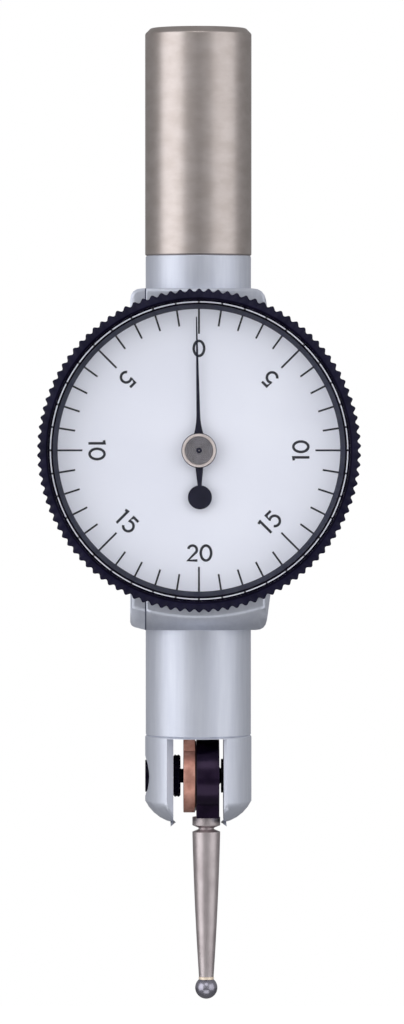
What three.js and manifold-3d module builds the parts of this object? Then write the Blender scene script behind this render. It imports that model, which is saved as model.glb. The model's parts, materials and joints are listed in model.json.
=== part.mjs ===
// A lever-type dial test indicator: a round stem, a housing with the dial on its front, a forked
// lower end with a swivelling contact point, and the lever and gear train inside. Millimetres.
// The origin is the centre of the stem's upper end, +Z runs up along the stem, and the dial faces -Y.
import * as THREE from "three";
import { mergeVertices } from "three/addons/utils/BufferGeometryUtils.js";
import Module from "manifold-3d";

const wasm = await Module();
wasm.setup();

// Fits
const runningFit = 0.05; // radial clearance of a shaft, spigot or screw in its hole
const pressFit = 0.02; // radial clearance drawn between a wheel or collet and its own shaft
const cutOverrun = 1; // how far a cutting tool runs past the face it leaves
const jointEdge = 0.1; // edge break on each side of a round joint line

// Stem, gripped by the holder
const stemDiameter = 9.525; // 3/8 inch
const stemLength = 20.35;
const stemEdge = 0.5;
const stemSpigotLength = 2.6;

// Housing: a tube with a block on it that carries the dial and holds the movement
const tubeDiameter = 9.44;
const tubeWall = 0.9;
const neckLength = 3; // tube between the stem and the block
const blockHead = 14.35; // from the dial axis up to the block's flat top
const blockFoot = 16.05; // from the dial axis down to the block's flat foot
const blockRight = 7.15; // from the tube's axis to the fullest point of the block's right side
const barrelRadius = 92; // that side is rounded from head to foot
const barrelDrop = 1.2; // from the dial axis down to its fullest point
const frontFlatRight = 5.87; // from the tube's axis to the front face's right edge
const frontFallAngle = 19; // the side falls back from that edge, degrees
const blockCorner = 1.1; // at the head
const blockWall = 1.2; // in front of the pocket and behind it
const blockEndWall = 4.15; // under the pocket
const blockRightWall = 4.15;
const blockEdge = 0.25;
const footCorner = 0.85;
const coverFootCorner = 0.45;
const coverFootRise = 0.36; // the cover's foot slopes up by this much
const footArcRadius = 19.45; // of the cone that cuts back the foot's front edge
const footArcDrop = 14.85; // from the dial axis down to the cone's edge on the front face
const pocketCorner = 1;
const pocketGap = 0.45; // round the crown gear

// Side cover over the pocket
const coverThickness = 1.37;
const coverScrewInset = 1.1; // under the pocket's foot
const coverScrewSpread = 7.6;
const coverScrewDepth = 2; // thread in the block

// Countersunk screws
const screwHeadDiameter = 2.1;
const screwShankDiameter = 1.2;
const screwSlotWidth = 0.3;
const screwSlotDepth = 0.3;

// Gear train
const toothModule = 0.2;
const crownTeeth = 40;
const crownPinionTeeth = 8;
const pointerPinionTeeth = 12;
const sectorTeeth = 8;
const addendumShare = 0.8; // of the module
const dedendumShare = 1.15;
const toothThicknessShare = 0.38; // of the pitch
const flankAngle = 20;
const crownFaceWidth = 0.7;
const crownWebThickness = 0.4;
const crownRimWidth = 0.9;
const crownHubDiameter = 1.8;
const crownHoleDiameter = 1.3;
const crownHoles = 5;
const pointerPinionWidth = 0.5;
const pinionSideMargin = 0.12; // the crown pinion is this much wider than the sector, each side
const arborDiameter = 0.8;
const arborPivotDiameter = 0.3;
const arborPivotLength = 0.4;
const arborEndPlay = 0.05;

// Jewels and the parts that hold them
const jewelDiameter = 1.2;
const jewelThickness = 0.5;
const fingerLip = 0.25; // metal round the rear jewel of the pointer arbor
const fingerThickness = 1;
const pinionShoulder = 0.5; // from the pointer pinion back to its rear jewel
const cockThickness = 0.7;
const cockFootLength = 4.7;
const cockFootWidth = 5;
const cockEndRadius = 1.5;
const cockScrewSpread = 2.8;
const cockScrewDepth = 2;
const cockScrewHeadDiameter = 1.8;
const cockScrewHeadHeight = 0.45;
const coverInnerGap = 0.07; // between those heads and the side cover
const cockGap = 0.25; // between the cock and the sector
const sectorGap = 0.25; // between the sector and the crown gear

// Measuring lever and its sector
const pivotDrop = 29.3; // from the dial axis down to the lever's pivot axis
const leverSwing = 1.6; // degrees each way
const headRadius = 3.3; // clutch disc and round head of the stylus holder
const leverThickness = 1.04;
const armWidth = 2.4;
const armRootWidth = 4.6; // where the arm rises from the clutch disc
const armRootRise = 4.6; // from the pivot axis up to the end of that width
const armRootTaper = 1.8; // length over which it narrows to the arm
const sectorThickness = 0.5;
const sectorFlare = 3.4; // length over which the sector widens to its teeth
const sectorLap = 5.6; // length of the joint between the arm and the sector
const sectorTopGap = 1.1; // from that joint up to the crown gear
const rivetDiameter = 0.7;
const rivetHeadDiameter = 1.2;
const rivetHeadHeight = 0.15;
const rivetInset = 0.9; // from the ends of the spacer
const limitPinDiameter = 0.8;
const limitPinDepth = 1;
const limitPinGap = 0.03;

// Pieces side by side in the fork, from its left wall to its right wall
const lockNutThickness = 0.65;
const lockNutDiameter = 3.82;
const lockNutTeeth = 22;
const lockNutToothDepth = 0.14;
const lockNutGroove = 0.08;
const lockNutEdge = 0.15;
const screwNoseLength = 0.26; // bare nose between the nut and the lever
const clutchGap = 0.12;
const clutchWasherDiameter = 6.3;
const clutchWasherPlay = 0.02;
const holderWidth = 2.05;
const holderSideGap = 0.16;
const bearingFlangeThickness = 0.22;
const bearingFlangeDiameter = 3.04;
const bearingPlugDiameter = 2;
const bearingPlugLength = 1.5;

// Pivot
const pivotScrewDiameter = 2;
const pivotHeadDiameter = 2.9;
const pivotRecessDiameter = 3.6;
const pivotRecessDepth = 0.7; // the screw's head fills it
const pivotNoseDiameter = 1.26;
const pivotShaftDiameter = 1.6;
const pivotShaftInset = 0.04; // the shaft's left end lies this much inside the lever's face
const pivotTipDiameter = 0.3;

// Fork head
const forkStep = 0.05; // the head is this much larger in radius than the tube
const slotTopGap = 0.2;
const forkWeb = 0.15; // from the slot's top to the head's shoulder
const forkEndRadius = 3.5; // of the round edge at the head's lower end
const forkEndDrop = 0.74; // from the pivot axis down to that edge's centre
const forkEndFlat = 1.6; // radius at which the edge runs out into the flat end
const slotEdgeLeft = 0.97;
const slotEdgeRight = 0.48;
const forkSpigotLength = 4;
const forkSpigotWall = 0.8;

// Stylus
const holderDrop = 3.7; // from the pivot axis down to the holder's flat foot
const holderFootWidth = 4.2;
const contactShift = 0.13; // the contact point stands this much left of the holder's middle
const contactReach = 19.06; // from the pivot axis to the middle of the ball
const contactCollarDiameter = 2.5;
const contactCollarLength = 0.75;
const contactGrooveDiameter = 1.39;
const contactGrooveLength = 0.58;
const contactTipDiameter = 1.32;
const contactBulge = 0.06; // of the long taper, at its middle
const contactSpigotDiameter = 1.6;
const contactSpigotLength = 1.7;
const ballDiameter = 2;
const brazeGap = 0.1;

// Dial base and the ring that holds the bezel on it
const baseThickness = 1.7;
const baseScrewInset = 1.83; // from the base's rim
const baseScrewSpread = 4;
const bezelFit = 0.08;
const ringWidth = 0.45;
const ringBite = 0.3; // how far the ring reaches into the bezel's groove
const ringDepth = 0.4; // how far it reaches into the base
const ringLift = 0.65; // from the base's rear face
const ringPlay = 0.05;
const ringOpening = 24; // degrees left open

// Bezel, dial and crystal
const dialOpeningDiameter = 25.1;
const dialLap = 0.23; // the dial's rim lies this far under the bezel
const dialThickness = 0.4;
const dialGap = 0.2; // between the base and the dial
const dialHoleDiameter = 1.6;
const rehautSlope = 0.4; // the sloping wall round the dial widens by this much
const crystalSeat = 0.35;
const crystalThickness = 1;
const crystalEdge = 0.2;
const bezelLip = 0.2; // the bezel stands this much in front of the crystal
const bezelRim = 0.67; // from the crystal out to the roots of the grip teeth
const bezelRearGap = 0.2;
const bezelEdge = 0.12;
const gripDepth = 0.28;
const gripTeeth = 106;
const gripTipShare = 0.42; // of the pitch

// Pointer on its hub, and the hairspring
const hubLift = 0.3; // from the dial to the hub
const hubHeight = 0.8;
const hubClearance = 0.4; // from the hub to the crystal
const hubFlangeDiameter = 3.06;
const hubFlangeThickness = 0.45;
const hubSleeveDiameter = 1.2;
const hubDishDiameter = 2.48;
const hubDishDepth = 0.12;
const bladeThickness = 0.12;
const pointerTipGap = 0.75; // from the dial's visible edge
const pointerTipWidth = 0.1;
const pointerWaistWidth = 0.31;
const pointerWaistReach = 3.45;
const pointerRootWidth = 0.9;
const pointerTailWidth = 0.76;
const pointerTailNeckWidth = 0.42;
const counterweightReach = 4.22;
const counterweightDiameter = 2.14;
const pointerRestTurn = 1.1; // degrees anticlockwise of the zero mark
const journalDiameter = 0.44;
const colletDiameter = 1.5;
const colletHeight = 0.6;
const springLift = 0.3;
const springWidth = 0.5;
const springThickness = 0.12;
const springGap = 0.6; // between turns
const springTurns = 3.5;
const studDiameter = 0.6;
const studDepth = 0.6;
const wellGap = 0.3; // round the stud

// Facets of a full turn, and of a round corner
const fineSteps = 60;
const roundSteps = 36;
const smallSteps = 20;
const tinySteps = 12;
const cornerSteps = 4;
const barrelSteps = 8;
const forkEndSteps = 6;
const taperSteps = 6;

// Levels along the stem's axis
const tubeRadius = tubeDiameter / 2;
const boreRadius = tubeRadius - tubeWall;
const blockTopZ = -stemLength - neckLength;
const dialZ = blockTopZ - blockHead;
const pivotZ = dialZ - pivotDrop;
const slotTop = headRadius + slotTopGap;
const forkShoulder = slotTop + forkWeb;

// Gear sizes
const crownRadius = (crownTeeth * toothModule) / 2;
const crownPinionRadius = (crownPinionTeeth * toothModule) / 2;
const pointerPinionRadius = (pointerPinionTeeth * toothModule) / 2;
const sectorRadius = pivotDrop - crownPinionRadius;
const addendum = addendumShare * toothModule;
const dedendum = dedendumShare * toothModule;
const toothPitch = Math.PI * toothModule;
const crownOuterRadius = crownRadius + crownFaceWidth / 2;

// Block and pocket, in a frame whose origin is on the dial axis
const seamX = -tubeRadius;
const coverX = seamX - coverThickness;
const pocketDepth = crownOuterRadius + pocketGap;
const blockDepth = pocketDepth + blockWall; // from the tube's axis to the front and to the back
const pocketTop = crownOuterRadius + pocketGap;
const shelfTop = pocketTop + cockFootLength;
const pocketFoot = -(blockFoot - blockEndWall);
const pocketFloorX = blockRight - blockRightWall;

// Pieces side by side in the pocket, from the side cover inwards
const cockLeftX = seamX + coverInnerGap + cockScrewHeadHeight;
const cockRightX = cockLeftX + cockThickness;
const sectorLeftX = cockRightX + cockGap;
const sectorRightX = sectorLeftX + sectorThickness;
const crownLeftX = sectorRightX + sectorGap;
const crownRightX = -(pointerPinionRadius + dedendum);

// Pieces side by side in the fork
const slotWidth =
  lockNutThickness +
  screwNoseLength +
  leverThickness +
  clutchGap +
  holderWidth +
  holderSideGap +
  bearingFlangeThickness;
const slotLeftX = -slotWidth / 2;
const nutRightX = slotLeftX + lockNutThickness;
const leverLeftX = nutRightX + screwNoseLength;
const leverRightX = leverLeftX + leverThickness;
const holderLeftX = leverRightX + clutchGap;
const holderRightX = holderLeftX + holderWidth;
const flangeLeftX = slotWidth / 2 - bearingFlangeThickness;
const forkRadius = tubeRadius + forkStep;

// Height of the joint between the arm and the sector, above the pivot
const lapTop = pivotDrop - crownOuterRadius - sectorTopGap;
const lapFoot = lapTop - sectorLap;

// The dial stack, outwards from the block's front face
const dialRearZ = baseThickness + dialGap;
const dialFrontZ = dialRearZ + dialThickness;
const crystalRearZ = dialFrontZ + hubLift + hubHeight + hubClearance;
const crystalFrontZ = crystalRearZ + crystalThickness;
const bezelFrontZ = crystalFrontZ + bezelLip;
const openingRadius = dialOpeningDiameter / 2;
const skirtRadius = openingRadius + dialLap;
const baseRadius = skirtRadius - bezelFit;
const crystalRadius = openingRadius + rehautSlope + crystalSeat;
const gripRootRadius = crystalRadius + runningFit + bezelRim;
const gripTipRadius = gripRootRadius + gripDepth;

const axisX = new THREE.Vector3(1, 0, 0);
const axisY = new THREE.Vector3(0, 1, 0);
const axisZ = new THREE.Vector3(0, 0, 1);
const forwards = axisY.clone().negate();
const leftwards = axisX.clone().negate();

// The dial frame: x to the right, y up, z towards the reader, from the block's front face.
const dialFrame = new THREE.Matrix4()
  .makeBasis(axisX, axisZ, forwards)
  .setPosition(0, -blockDepth, dialZ);

// A side frame: x to the back, y up, z to the right, with its origin on the tube's axis.
function sideFrameAt(z) {
  return new THREE.Matrix4().makeBasis(axisY, axisZ, axisX).setPosition(0, 0, z);
}
const crownFrame = sideFrameAt(dialZ);
const leverFrame = sideFrameAt(pivotZ);
const forkFrame = new THREE.Matrix4().setPosition(0, 0, pivotZ);

// A pose given in the part's frame, as seen from another frame.
function poseIn(frame, pose) {
  return frame.clone().invert().multiply(pose);
}

// A closed geometry as a solid that can be cut and joined, and back again.
function solidOf(geometry, frame) {
  const bare = geometry.clone();
  bare.deleteAttribute("normal");
  bare.deleteAttribute("uv");
  if (frame) bare.applyMatrix4(frame);
  const merged = mergeVertices(bare);
  return new wasm.Manifold(
    new wasm.Mesh({
      numProp: 3,
      vertProperties: merged.attributes.position.array,
      triVerts: new Uint32Array(merged.index.array),
    }),
  );
}

function geometryOf(solid) {
  const mesh = solid.getMesh();
  const geometry = new THREE.BufferGeometry();
  geometry.setAttribute("position", new THREE.BufferAttribute(mesh.vertProperties, mesh.numProp));
  geometry.setIndex(new THREE.BufferAttribute(mesh.triVerts, 1));
  const flat = geometry.toNonIndexed();
  flat.computeVertexNormals();
  return flat;
}

function cutAway(body, ...tools) {
  return tools.reduce((left, tool) => left.subtract(tool), body);
}

// A profile of [radius, height] pairs turned about z.
function turned(profile, steps) {
  const points = profile.map(([radius, height]) => new THREE.Vector2(radius, height));
  if (THREE.ShapeUtils.area(points) < 0) points.reverse();
  const ring = profile[0][0] > 0;
  if (ring) points.push(points[0].clone());
  return new THREE.LatheGeometry(points, steps).rotateX(Math.PI / 2);
}

// A plain round rod along z, or a tube if it has an inner radius.
function rod(radius, low, high, steps) {
  return turned([[0, low], [radius, low], [radius, high], [0, high]], steps);
}

function tube(inner, outer, low, high, steps) {
  return turned([[inner, low], [outer, low], [outer, high], [inner, high]], steps);
}

// An outline in x and y, extruded along z. An arc gets twice as many lines as its segments.
function plate(shape, low, high, arcSteps = 2) {
  return new THREE.ExtrudeGeometry(shape, {
    depth: high - low,
    bevelEnabled: false,
    curveSegments: arcSteps / 2,
  }).translate(0, 0, low);
}

function boxBetween(low, high) {
  const size = high.map((value, i) => value - low[i]);
  const middle = high.map((value, i) => (value + low[i]) / 2);
  return new THREE.BoxGeometry(...size).translate(...middle);
}

function polygon(points) {
  return new THREE.Shape(points.map(([x, y]) => new THREE.Vector2(x, y)));
}

function roundedRectangle(halfWidth, low, high, radius) {
  const shape = new THREE.Shape();
  shape.moveTo(-halfWidth + radius, low);
  shape.absarc(halfWidth - radius, low + radius, radius, -Math.PI / 2, 0);
  shape.absarc(halfWidth - radius, high - radius, radius, 0, Math.PI / 2);
  shape.absarc(-halfWidth + radius, high - radius, radius, Math.PI / 2, Math.PI);
  shape.absarc(-halfWidth + radius, low + radius, radius, Math.PI, (3 * Math.PI) / 2);
  return shape;
}

// Where a piece stands, with its own z axis along a direction.
function poseAt(x, y, z, direction) {
  const turn = new THREE.Quaternion().setFromUnitVectors(axisZ, direction);
  return new THREE.Matrix4().compose(new THREE.Vector3(x, y, z), turn, new THREE.Vector3(1, 1, 1));
}

// Teeth

const flankSlope = Math.tan(THREE.MathUtils.degToRad(flankAngle));

// Half of a tooth's thickness at a height above the pitch line.
function halfTooth(height) {
  return (toothThicknessShare * toothPitch) / 2 - height * flankSlope;
}

// The four corners of one tooth on a wheel, [angle, radius], anticlockwise.
function toothCorners(middle, pitchRadius) {
  const root = pitchRadius - dedendum;
  const tip = pitchRadius + addendum;
  const rootTurn = halfTooth(-dedendum) / pitchRadius;
  const tipTurn = halfTooth(addendum) / pitchRadius;
  return [
    [middle - rootTurn, root],
    [middle - tipTurn, tip],
    [middle + tipTurn, tip],
    [middle + rootTurn, root],
  ];
}

// Both pinions have a tooth where they mesh, and what they mesh with has a gap there.
function wheelOutline(teeth, pitchRadius, firstTooth) {
  const corners = [];
  for (let i = 0; i < teeth; i += 1) {
    corners.push(...toothCorners(firstTooth + (i * 2 * Math.PI) / teeth, pitchRadius));
  }
  return polygon(corners.map(([turn, radius]) => [radius * Math.cos(turn), radius * Math.sin(turn)]));
}

// Screws: the head's flat face is at z = 0 and the shank runs down.

const screwHeadRadius = screwHeadDiameter / 2;
const screwShankRadius = screwShankDiameter / 2;
const screwConeHeight = screwHeadRadius - screwShankRadius;

function countersunkScrew(length) {
  const body = turned(
    [
      [0, -length],
      [screwShankRadius, -length],
      [screwShankRadius, -screwConeHeight],
      [screwHeadRadius, 0],
      [0, 0],
    ],
    tinySteps,
  );
  const slot = boxBetween(
    [-screwHeadDiameter, -screwSlotWidth / 2, -screwSlotDepth],
    [screwHeadDiameter, screwSlotWidth / 2, cutOverrun],
  );
  return geometryOf(solidOf(body).subtract(solidOf(slot)));
}

function countersunkHole(length, pose) {
  const mouth = screwHeadRadius + runningFit;
  const shank = screwShankRadius + runningFit;
  const hole = turned(
    [
      [0, -length - runningFit],
      [shank, -length - runningFit],
      [shank, -screwConeHeight],
      [mouth, 0],
      [mouth, cutOverrun],
      [0, cutOverrun],
    ],
    tinySteps,
  );
  return solidOf(hole, pose);
}

const coverScrewLength = coverThickness + coverScrewDepth;
const coverScrewPoses = [];
for (const height of [(shelfTop + blockHead) / 2, pocketFoot - coverScrewInset]) {
  for (const side of [-1, 1]) {
    const y = (side * coverScrewSpread) / 2;
    coverScrewPoses.push(poseAt(coverX, y, dialZ + height, leftwards));
  }
}

const baseScrewLength = baseThickness + blockWall;
const baseScrewPoses = [];
for (const side of [-1, 1]) {
  for (const level of [1, -1]) {
    const x = (side * baseScrewSpread) / 2;
    const reach = baseRadius - baseScrewInset;
    const z = dialZ + level * Math.sqrt(reach * reach - x * x);
    baseScrewPoses.push(poseAt(x, -blockDepth - baseThickness, z, forwards));
  }
}

const cockScrewPoses = [-1, 1].map((side) =>
  poseAt(
    cockLeftX,
    (side * cockScrewSpread) / 2,
    dialZ + pocketTop + cockFootLength / 2,
    leftwards,
  ),
);

// Housing

// An outline through corners given as [x, y, reach]: each corner is rounded by a curve that leaves
// and meets its two sides at that distance from it.
function roundedOutline(corners) {
  const shape = new THREE.Shape();
  const places = corners.map(([x, y]) => new THREE.Vector2(x, y));
  corners.forEach(([x, y, reach], i) => {
    const here = places[i];
    const towards = (other) => here.clone().add(other.clone().sub(here).setLength(reach));
    const start = towards(places.at(i - 1));
    const end = towards(places[(i + 1) % corners.length]);
    if (i) shape.lineTo(start.x, start.y);
    else shape.moveTo(start.x, start.y);
    if (reach) shape.quadraticCurveTo(x, y, end.x, end.y);
  });
  return shape;
}

// How far right the block's barrel-shaped side stands at a height above the dial axis.
function barrelX(height) {
  return blockRight - barrelRadius + Math.sqrt(barrelRadius ** 2 - (height + barrelDrop) ** 2);
}

// The block with its side cover still on, built in the dial frame: a slab with round corners and
// a barrel-shaped right side, whose lower front edge is cut back by a cone about an axis above the
// dial's, and whose right front edge is cut back by a slope.
function blockBlank() {
  const corners = [
    [seamX, -blockFoot, 0],
    [barrelX(-blockFoot), -blockFoot, footCorner],
  ];
  for (let i = 1; i < barrelSteps; i += 1) {
    const height = -blockFoot + ((blockFoot + blockHead) * i) / barrelSteps;
    corners.push([barrelX(height), height, 0]);
  }
  corners.push(
    [barrelX(blockHead), blockHead, blockCorner],
    [coverX, blockHead, blockCorner],
    [coverX, coverFootRise - blockFoot, coverFootCorner],
  );
  const shape = roundedOutline(corners);
  const slab = new THREE.ExtrudeGeometry(shape, {
    depth: 2 * (blockDepth - blockEdge),
    bevelEnabled: true,
    bevelThickness: blockEdge,
    bevelSize: blockEdge,
    bevelOffset: -blockEdge,
    bevelSegments: 1,
    curveSegments: cornerSteps,
  }).translate(0, 0, -2 * blockDepth + blockEdge);
  const coneRise = footArcRadius - footArcDrop;
  const coneReach = Math.hypot(blockFoot + coneRise, blockRight) - footArcRadius;
  const coneRear = -2 * blockDepth - cutOverrun;
  const cone = turned(
    [
      [0, coneRear],
      [footArcRadius + coneReach, coneRear],
      [footArcRadius + coneReach, -coneReach],
      [footArcRadius, 0],
      [0, 0],
    ],
    2 * fineSteps,
  ).translate(0, coneRise, 0);
  const fall = boxBetween([0, -blockDepth, -2 * blockFoot], [blockRight, 2 * blockRight, blockFoot])
    .rotateZ(-THREE.MathUtils.degToRad(frontFallAngle))
    .translate(frontFlatRight, -blockDepth, dialZ);
  return solidOf(slab, dialFrame).intersect(solidOf(cone, dialFrame)).subtract(solidOf(fall));
}

const blank = blockBlank();

function leftOfSeam() {
  const reach = 2 * blockFoot;
  return solidOf(boxBetween([-reach, -reach, 2 * pivotZ], [seamX, reach, reach]));
}

// The pocket for the movement, milled in from the left, with a finger left standing that carries
// the rear jewel of the pointer arbor.
const pinionRearZ = -(blockDepth - crownRadius) - pointerPinionWidth / 2;
const fingerFrontZ = pinionRearZ - pinionShoulder;
const fingerReach = jewelDiameter / 2 + fingerLip;

function pocketTool() {
  const deep = plate(
    roundedRectangle(pocketDepth, pocketFoot, pocketTop, pocketCorner),
    seamX - cutOverrun,
    pocketFloorX,
    cornerSteps,
  );
  const shelf = plate(
    roundedRectangle(pocketDepth, pocketTop - 2 * pocketCorner, shelfTop, pocketCorner),
    seamX - cutOverrun,
    cockRightX,
    cornerSteps,
  );
  const finger = boxBetween(
    [-fingerReach, -fingerReach, fingerFrontZ - fingerThickness],
    [blockRight, fingerReach, fingerFrontZ],
  );
  return solidOf(deep, crownFrame)
    .subtract(solidOf(finger, dialFrame))
    .add(solidOf(shelf, crownFrame));
}

const jewelRadius = jewelDiameter / 2;
const arborRadius = arborDiameter / 2;

function jewelHole(low, high) {
  return rod(jewelRadius + runningFit, low, high, tinySteps);
}

function arborHole(low, high) {
  return rod(arborRadius + runningFit, low, high, tinySteps);
}

const limitPinRadius = limitPinDiameter / 2;
const limitRise = pivotDrop + (pocketFoot - crownOuterRadius) / 2;
const swing = THREE.MathUtils.degToRad(leverSwing);
const limitPinY =
  armWidth / 2 / Math.cos(swing) + limitRise * Math.tan(swing) + limitPinRadius + limitPinGap;

const studRadius = studDiameter / 2;
const springInner = colletDiameter / 2 + runningFit + springThickness / 2;
const springOuter = springInner + springTurns * (springGap + springThickness);
const springEndTurn = springTurns * 2 * Math.PI;
const studReach = springOuter + springThickness / 2 + runningFit + studRadius;
const studX = studReach * Math.cos(springEndTurn);
const studY = studReach * Math.sin(springEndTurn);
const wellRadius = studReach + studRadius + wellGap;

function makeHousing() {
  const outer = turned(
    [
      [0, pivotZ + forkShoulder],
      [tubeRadius - jointEdge, pivotZ + forkShoulder],
      [tubeRadius, pivotZ + forkShoulder + jointEdge],
      [tubeRadius, -stemLength - jointEdge],
      [tubeRadius - jointEdge, -stemLength],
      [0, -stemLength],
    ],
    roundSteps,
  );
  const stemBoreFoot = -stemLength - stemSpigotLength - runningFit;
  const stemBore = rod(boreRadius, stemBoreFoot, cutOverrun, roundSteps);
  const leverBore = rod(boreRadius, pivotZ, dialZ + pocketFoot + pocketCorner, roundSteps);
  let body = cutAway(blank, leftOfSeam()).add(solidOf(outer));
  body = cutAway(
    body,
    solidOf(stemBore),
    solidOf(leverBore),
    pocketTool(),
    solidOf(arborHole(-blockWall - pocketGap, 0), dialFrame),
    solidOf(jewelHole(-jewelThickness - runningFit, cutOverrun), dialFrame),
    solidOf(jewelHole(fingerFrontZ - jewelThickness - runningFit, fingerFrontZ), dialFrame),
    solidOf(jewelHole(pocketFloorX, pocketFloorX + jewelThickness + runningFit), crownFrame),
  );
  for (const side of [-1, 1]) {
    const pin = rod(
      limitPinRadius + pressFit,
      pocketFloorX,
      pocketFloorX + limitPinDepth + runningFit,
      tinySteps,
    ).translate(side * limitPinY, limitRise, 0);
    body = body.subtract(solidOf(pin, leverFrame));
  }
  const stud = rod(studRadius + pressFit, -studDepth - runningFit, cutOverrun, tinySteps);
  body = body.subtract(solidOf(stud.translate(studX, studY, 0), dialFrame));
  for (const pose of coverScrewPoses) {
    body = body.subtract(countersunkHole(coverScrewLength, pose));
  }
  for (const pose of baseScrewPoses) {
    body = body.subtract(countersunkHole(baseScrewLength, pose));
  }
  for (const pose of cockScrewPoses) {
    const thread = rod(
      screwShankRadius + runningFit,
      -cockThickness - cockScrewDepth - runningFit,
      0,
      tinySteps,
    );
    body = body.subtract(solidOf(thread, pose));
  }
  return geometryOf(body);
}

function makeSideCover() {
  const reach = 2 * blockFoot;
  const right = solidOf(boxBetween([seamX, -reach, 2 * pivotZ], [reach, reach, reach]));
  let cover = blank.subtract(right);
  for (const pose of coverScrewPoses) {
    cover = cover.subtract(countersunkHole(coverScrewLength, pose));
  }
  return geometryOf(cover);
}

function makeStem() {
  const radius = stemDiameter / 2;
  const spigot = boreRadius - runningFit;
  return turned(
    [
      [0, -stemLength - stemSpigotLength],
      [spigot, -stemLength - stemSpigotLength],
      [spigot, -stemLength],
      [radius - jointEdge, -stemLength],
      [radius, -stemLength + jointEdge],
      [radius, -stemEdge],
      [radius - stemEdge, 0],
      [0, 0],
    ],
    roundSteps,
  );
}

// Fork head, built about the pivot axis's level

const spigotRadius = boreRadius - runningFit;
const forkBoreRadius = spigotRadius - forkSpigotWall;
const pivotScrewRadius = pivotScrewDiameter / 2;
const bearingPlugRadius = bearingPlugDiameter / 2;

function makeForkHead() {
  const endStart = -Math.PI / 2;
  const endStop = -Math.acos((forkRadius - forkEndFlat) / forkEndRadius);
  const endFoot = -forkEndDrop - forkEndRadius;
  const profile = [[0, endFoot]];
  for (let i = 0; i <= forkEndSteps; i += 1) {
    const turn = endStart + ((endStop - endStart) * i) / forkEndSteps;
    const radius = forkEndFlat + forkEndRadius * Math.cos(turn);
    profile.push([radius, forkEndRadius * Math.sin(turn) - forkEndDrop]);
  }
  profile.push(
    [forkRadius, forkShoulder - jointEdge],
    [forkRadius - jointEdge, forkShoulder],
    [spigotRadius, forkShoulder],
    [spigotRadius, forkShoulder + forkSpigotLength],
    [0, forkShoulder + forkSpigotLength],
  );
  const halfSlot = slotWidth / 2;
  const mouthY = Math.sqrt(forkRadius * forkRadius - halfSlot * halfSlot);
  const leftY = mouthY - slotEdgeLeft;
  const rightY = mouthY - slotEdgeRight;
  const outY = forkRadius + cutOverrun;
  const leftX = -halfSlot - (outY - leftY);
  const rightX = halfSlot + (outY - rightY);
  const slotShape = polygon([
    [-halfSlot, -leftY],
    [leftX, -outY],
    [rightX, -outY],
    [halfSlot, -rightY],
    [halfSlot, rightY],
    [rightX, outY],
    [leftX, outY],
    [-halfSlot, leftY],
  ]);
  const slot = plate(slotShape, endFoot - cutOverrun, slotTop);
  const bore = rod(
    forkBoreRadius,
    slotTop - slotTopGap,
    forkShoulder + forkSpigotLength + cutOverrun,
    roundSteps,
  );
  const screwHole = rod(
    pivotScrewRadius + runningFit,
    -forkRadius - cutOverrun,
    slotLeftX + cutOverrun,
    smallSteps,
  );
  const recess = rod(
    pivotRecessDiameter / 2,
    -forkRadius - cutOverrun,
    -forkRadius + pivotRecessDepth,
    smallSteps,
  );
  const bearingHole = rod(
    bearingPlugRadius + runningFit,
    flangeLeftX,
    slotWidth / 2 + bearingPlugLength + runningFit,
    smallSteps,
  );
  const sideways = sideFrameAt(0);
  return geometryOf(
    cutAway(
      solidOf(turned(profile, roundSteps)),
      solidOf(slot),
      solidOf(bore),
      solidOf(screwHole, sideways),
      solidOf(recess, sideways),
      solidOf(bearingHole, sideways),
    ),
  );
}

// Pivot pieces, in the lever's frame: z runs to the right

const pivotShaftRadius = pivotShaftDiameter / 2;
const pivotNoseRadius = pivotNoseDiameter / 2;
const pivotTipRadius = pivotTipDiameter / 2;
const shaftLeftX = leverLeftX + pivotShaftInset;
const noseConeLength = pivotNoseRadius - pivotTipRadius;
const shaftConeLength = pivotShaftRadius - pivotTipRadius;

function makePivotScrew() {
  const seat = -forkRadius + pivotRecessDepth;
  const body = turned(
    [
      [0, -forkRadius],
      [pivotHeadDiameter / 2, -forkRadius],
      [pivotHeadDiameter / 2, seat],
      [pivotScrewRadius, seat],
      [pivotScrewRadius, nutRightX],
      [pivotNoseRadius, nutRightX],
      [pivotNoseRadius, shaftLeftX - runningFit],
      [pivotTipRadius, shaftLeftX - runningFit + noseConeLength],
      [0, shaftLeftX - runningFit + noseConeLength],
    ],
    smallSteps,
  );
  const slot = boxBetween(
    [-screwSlotWidth / 2, -pivotHeadDiameter, -forkRadius - cutOverrun],
    [screwSlotWidth / 2, pivotHeadDiameter, -forkRadius + screwSlotDepth],
  );
  return geometryOf(solidOf(body).subtract(solidOf(slot)));
}

function makePivotShaft() {
  return turned(
    [
      [0, shaftLeftX + noseConeLength],
      [pivotTipRadius, shaftLeftX + noseConeLength],
      [pivotNoseRadius, shaftLeftX],
      [pivotShaftRadius, shaftLeftX],
      [pivotShaftRadius, holderRightX],
      [pivotTipRadius, holderRightX + shaftConeLength],
      [0, holderRightX + shaftConeLength],
    ],
    smallSteps,
  );
}

function makePivotBearing() {
  const plugEnd = slotWidth / 2 + bearingPlugLength;
  const coneStart = holderRightX + runningFit;
  return turned(
    [
      [0, coneStart + shaftConeLength],
      [pivotTipRadius, coneStart + shaftConeLength],
      [pivotShaftRadius - (flangeLeftX - coneStart), flangeLeftX],
      [bearingFlangeDiameter / 2, flangeLeftX],
      [bearingFlangeDiameter / 2, slotWidth / 2],
      [bearingPlugRadius, slotWidth / 2],
      [bearingPlugRadius, plugEnd],
      [0, plugEnd],
    ],
    smallSteps,
  );
}

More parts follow.
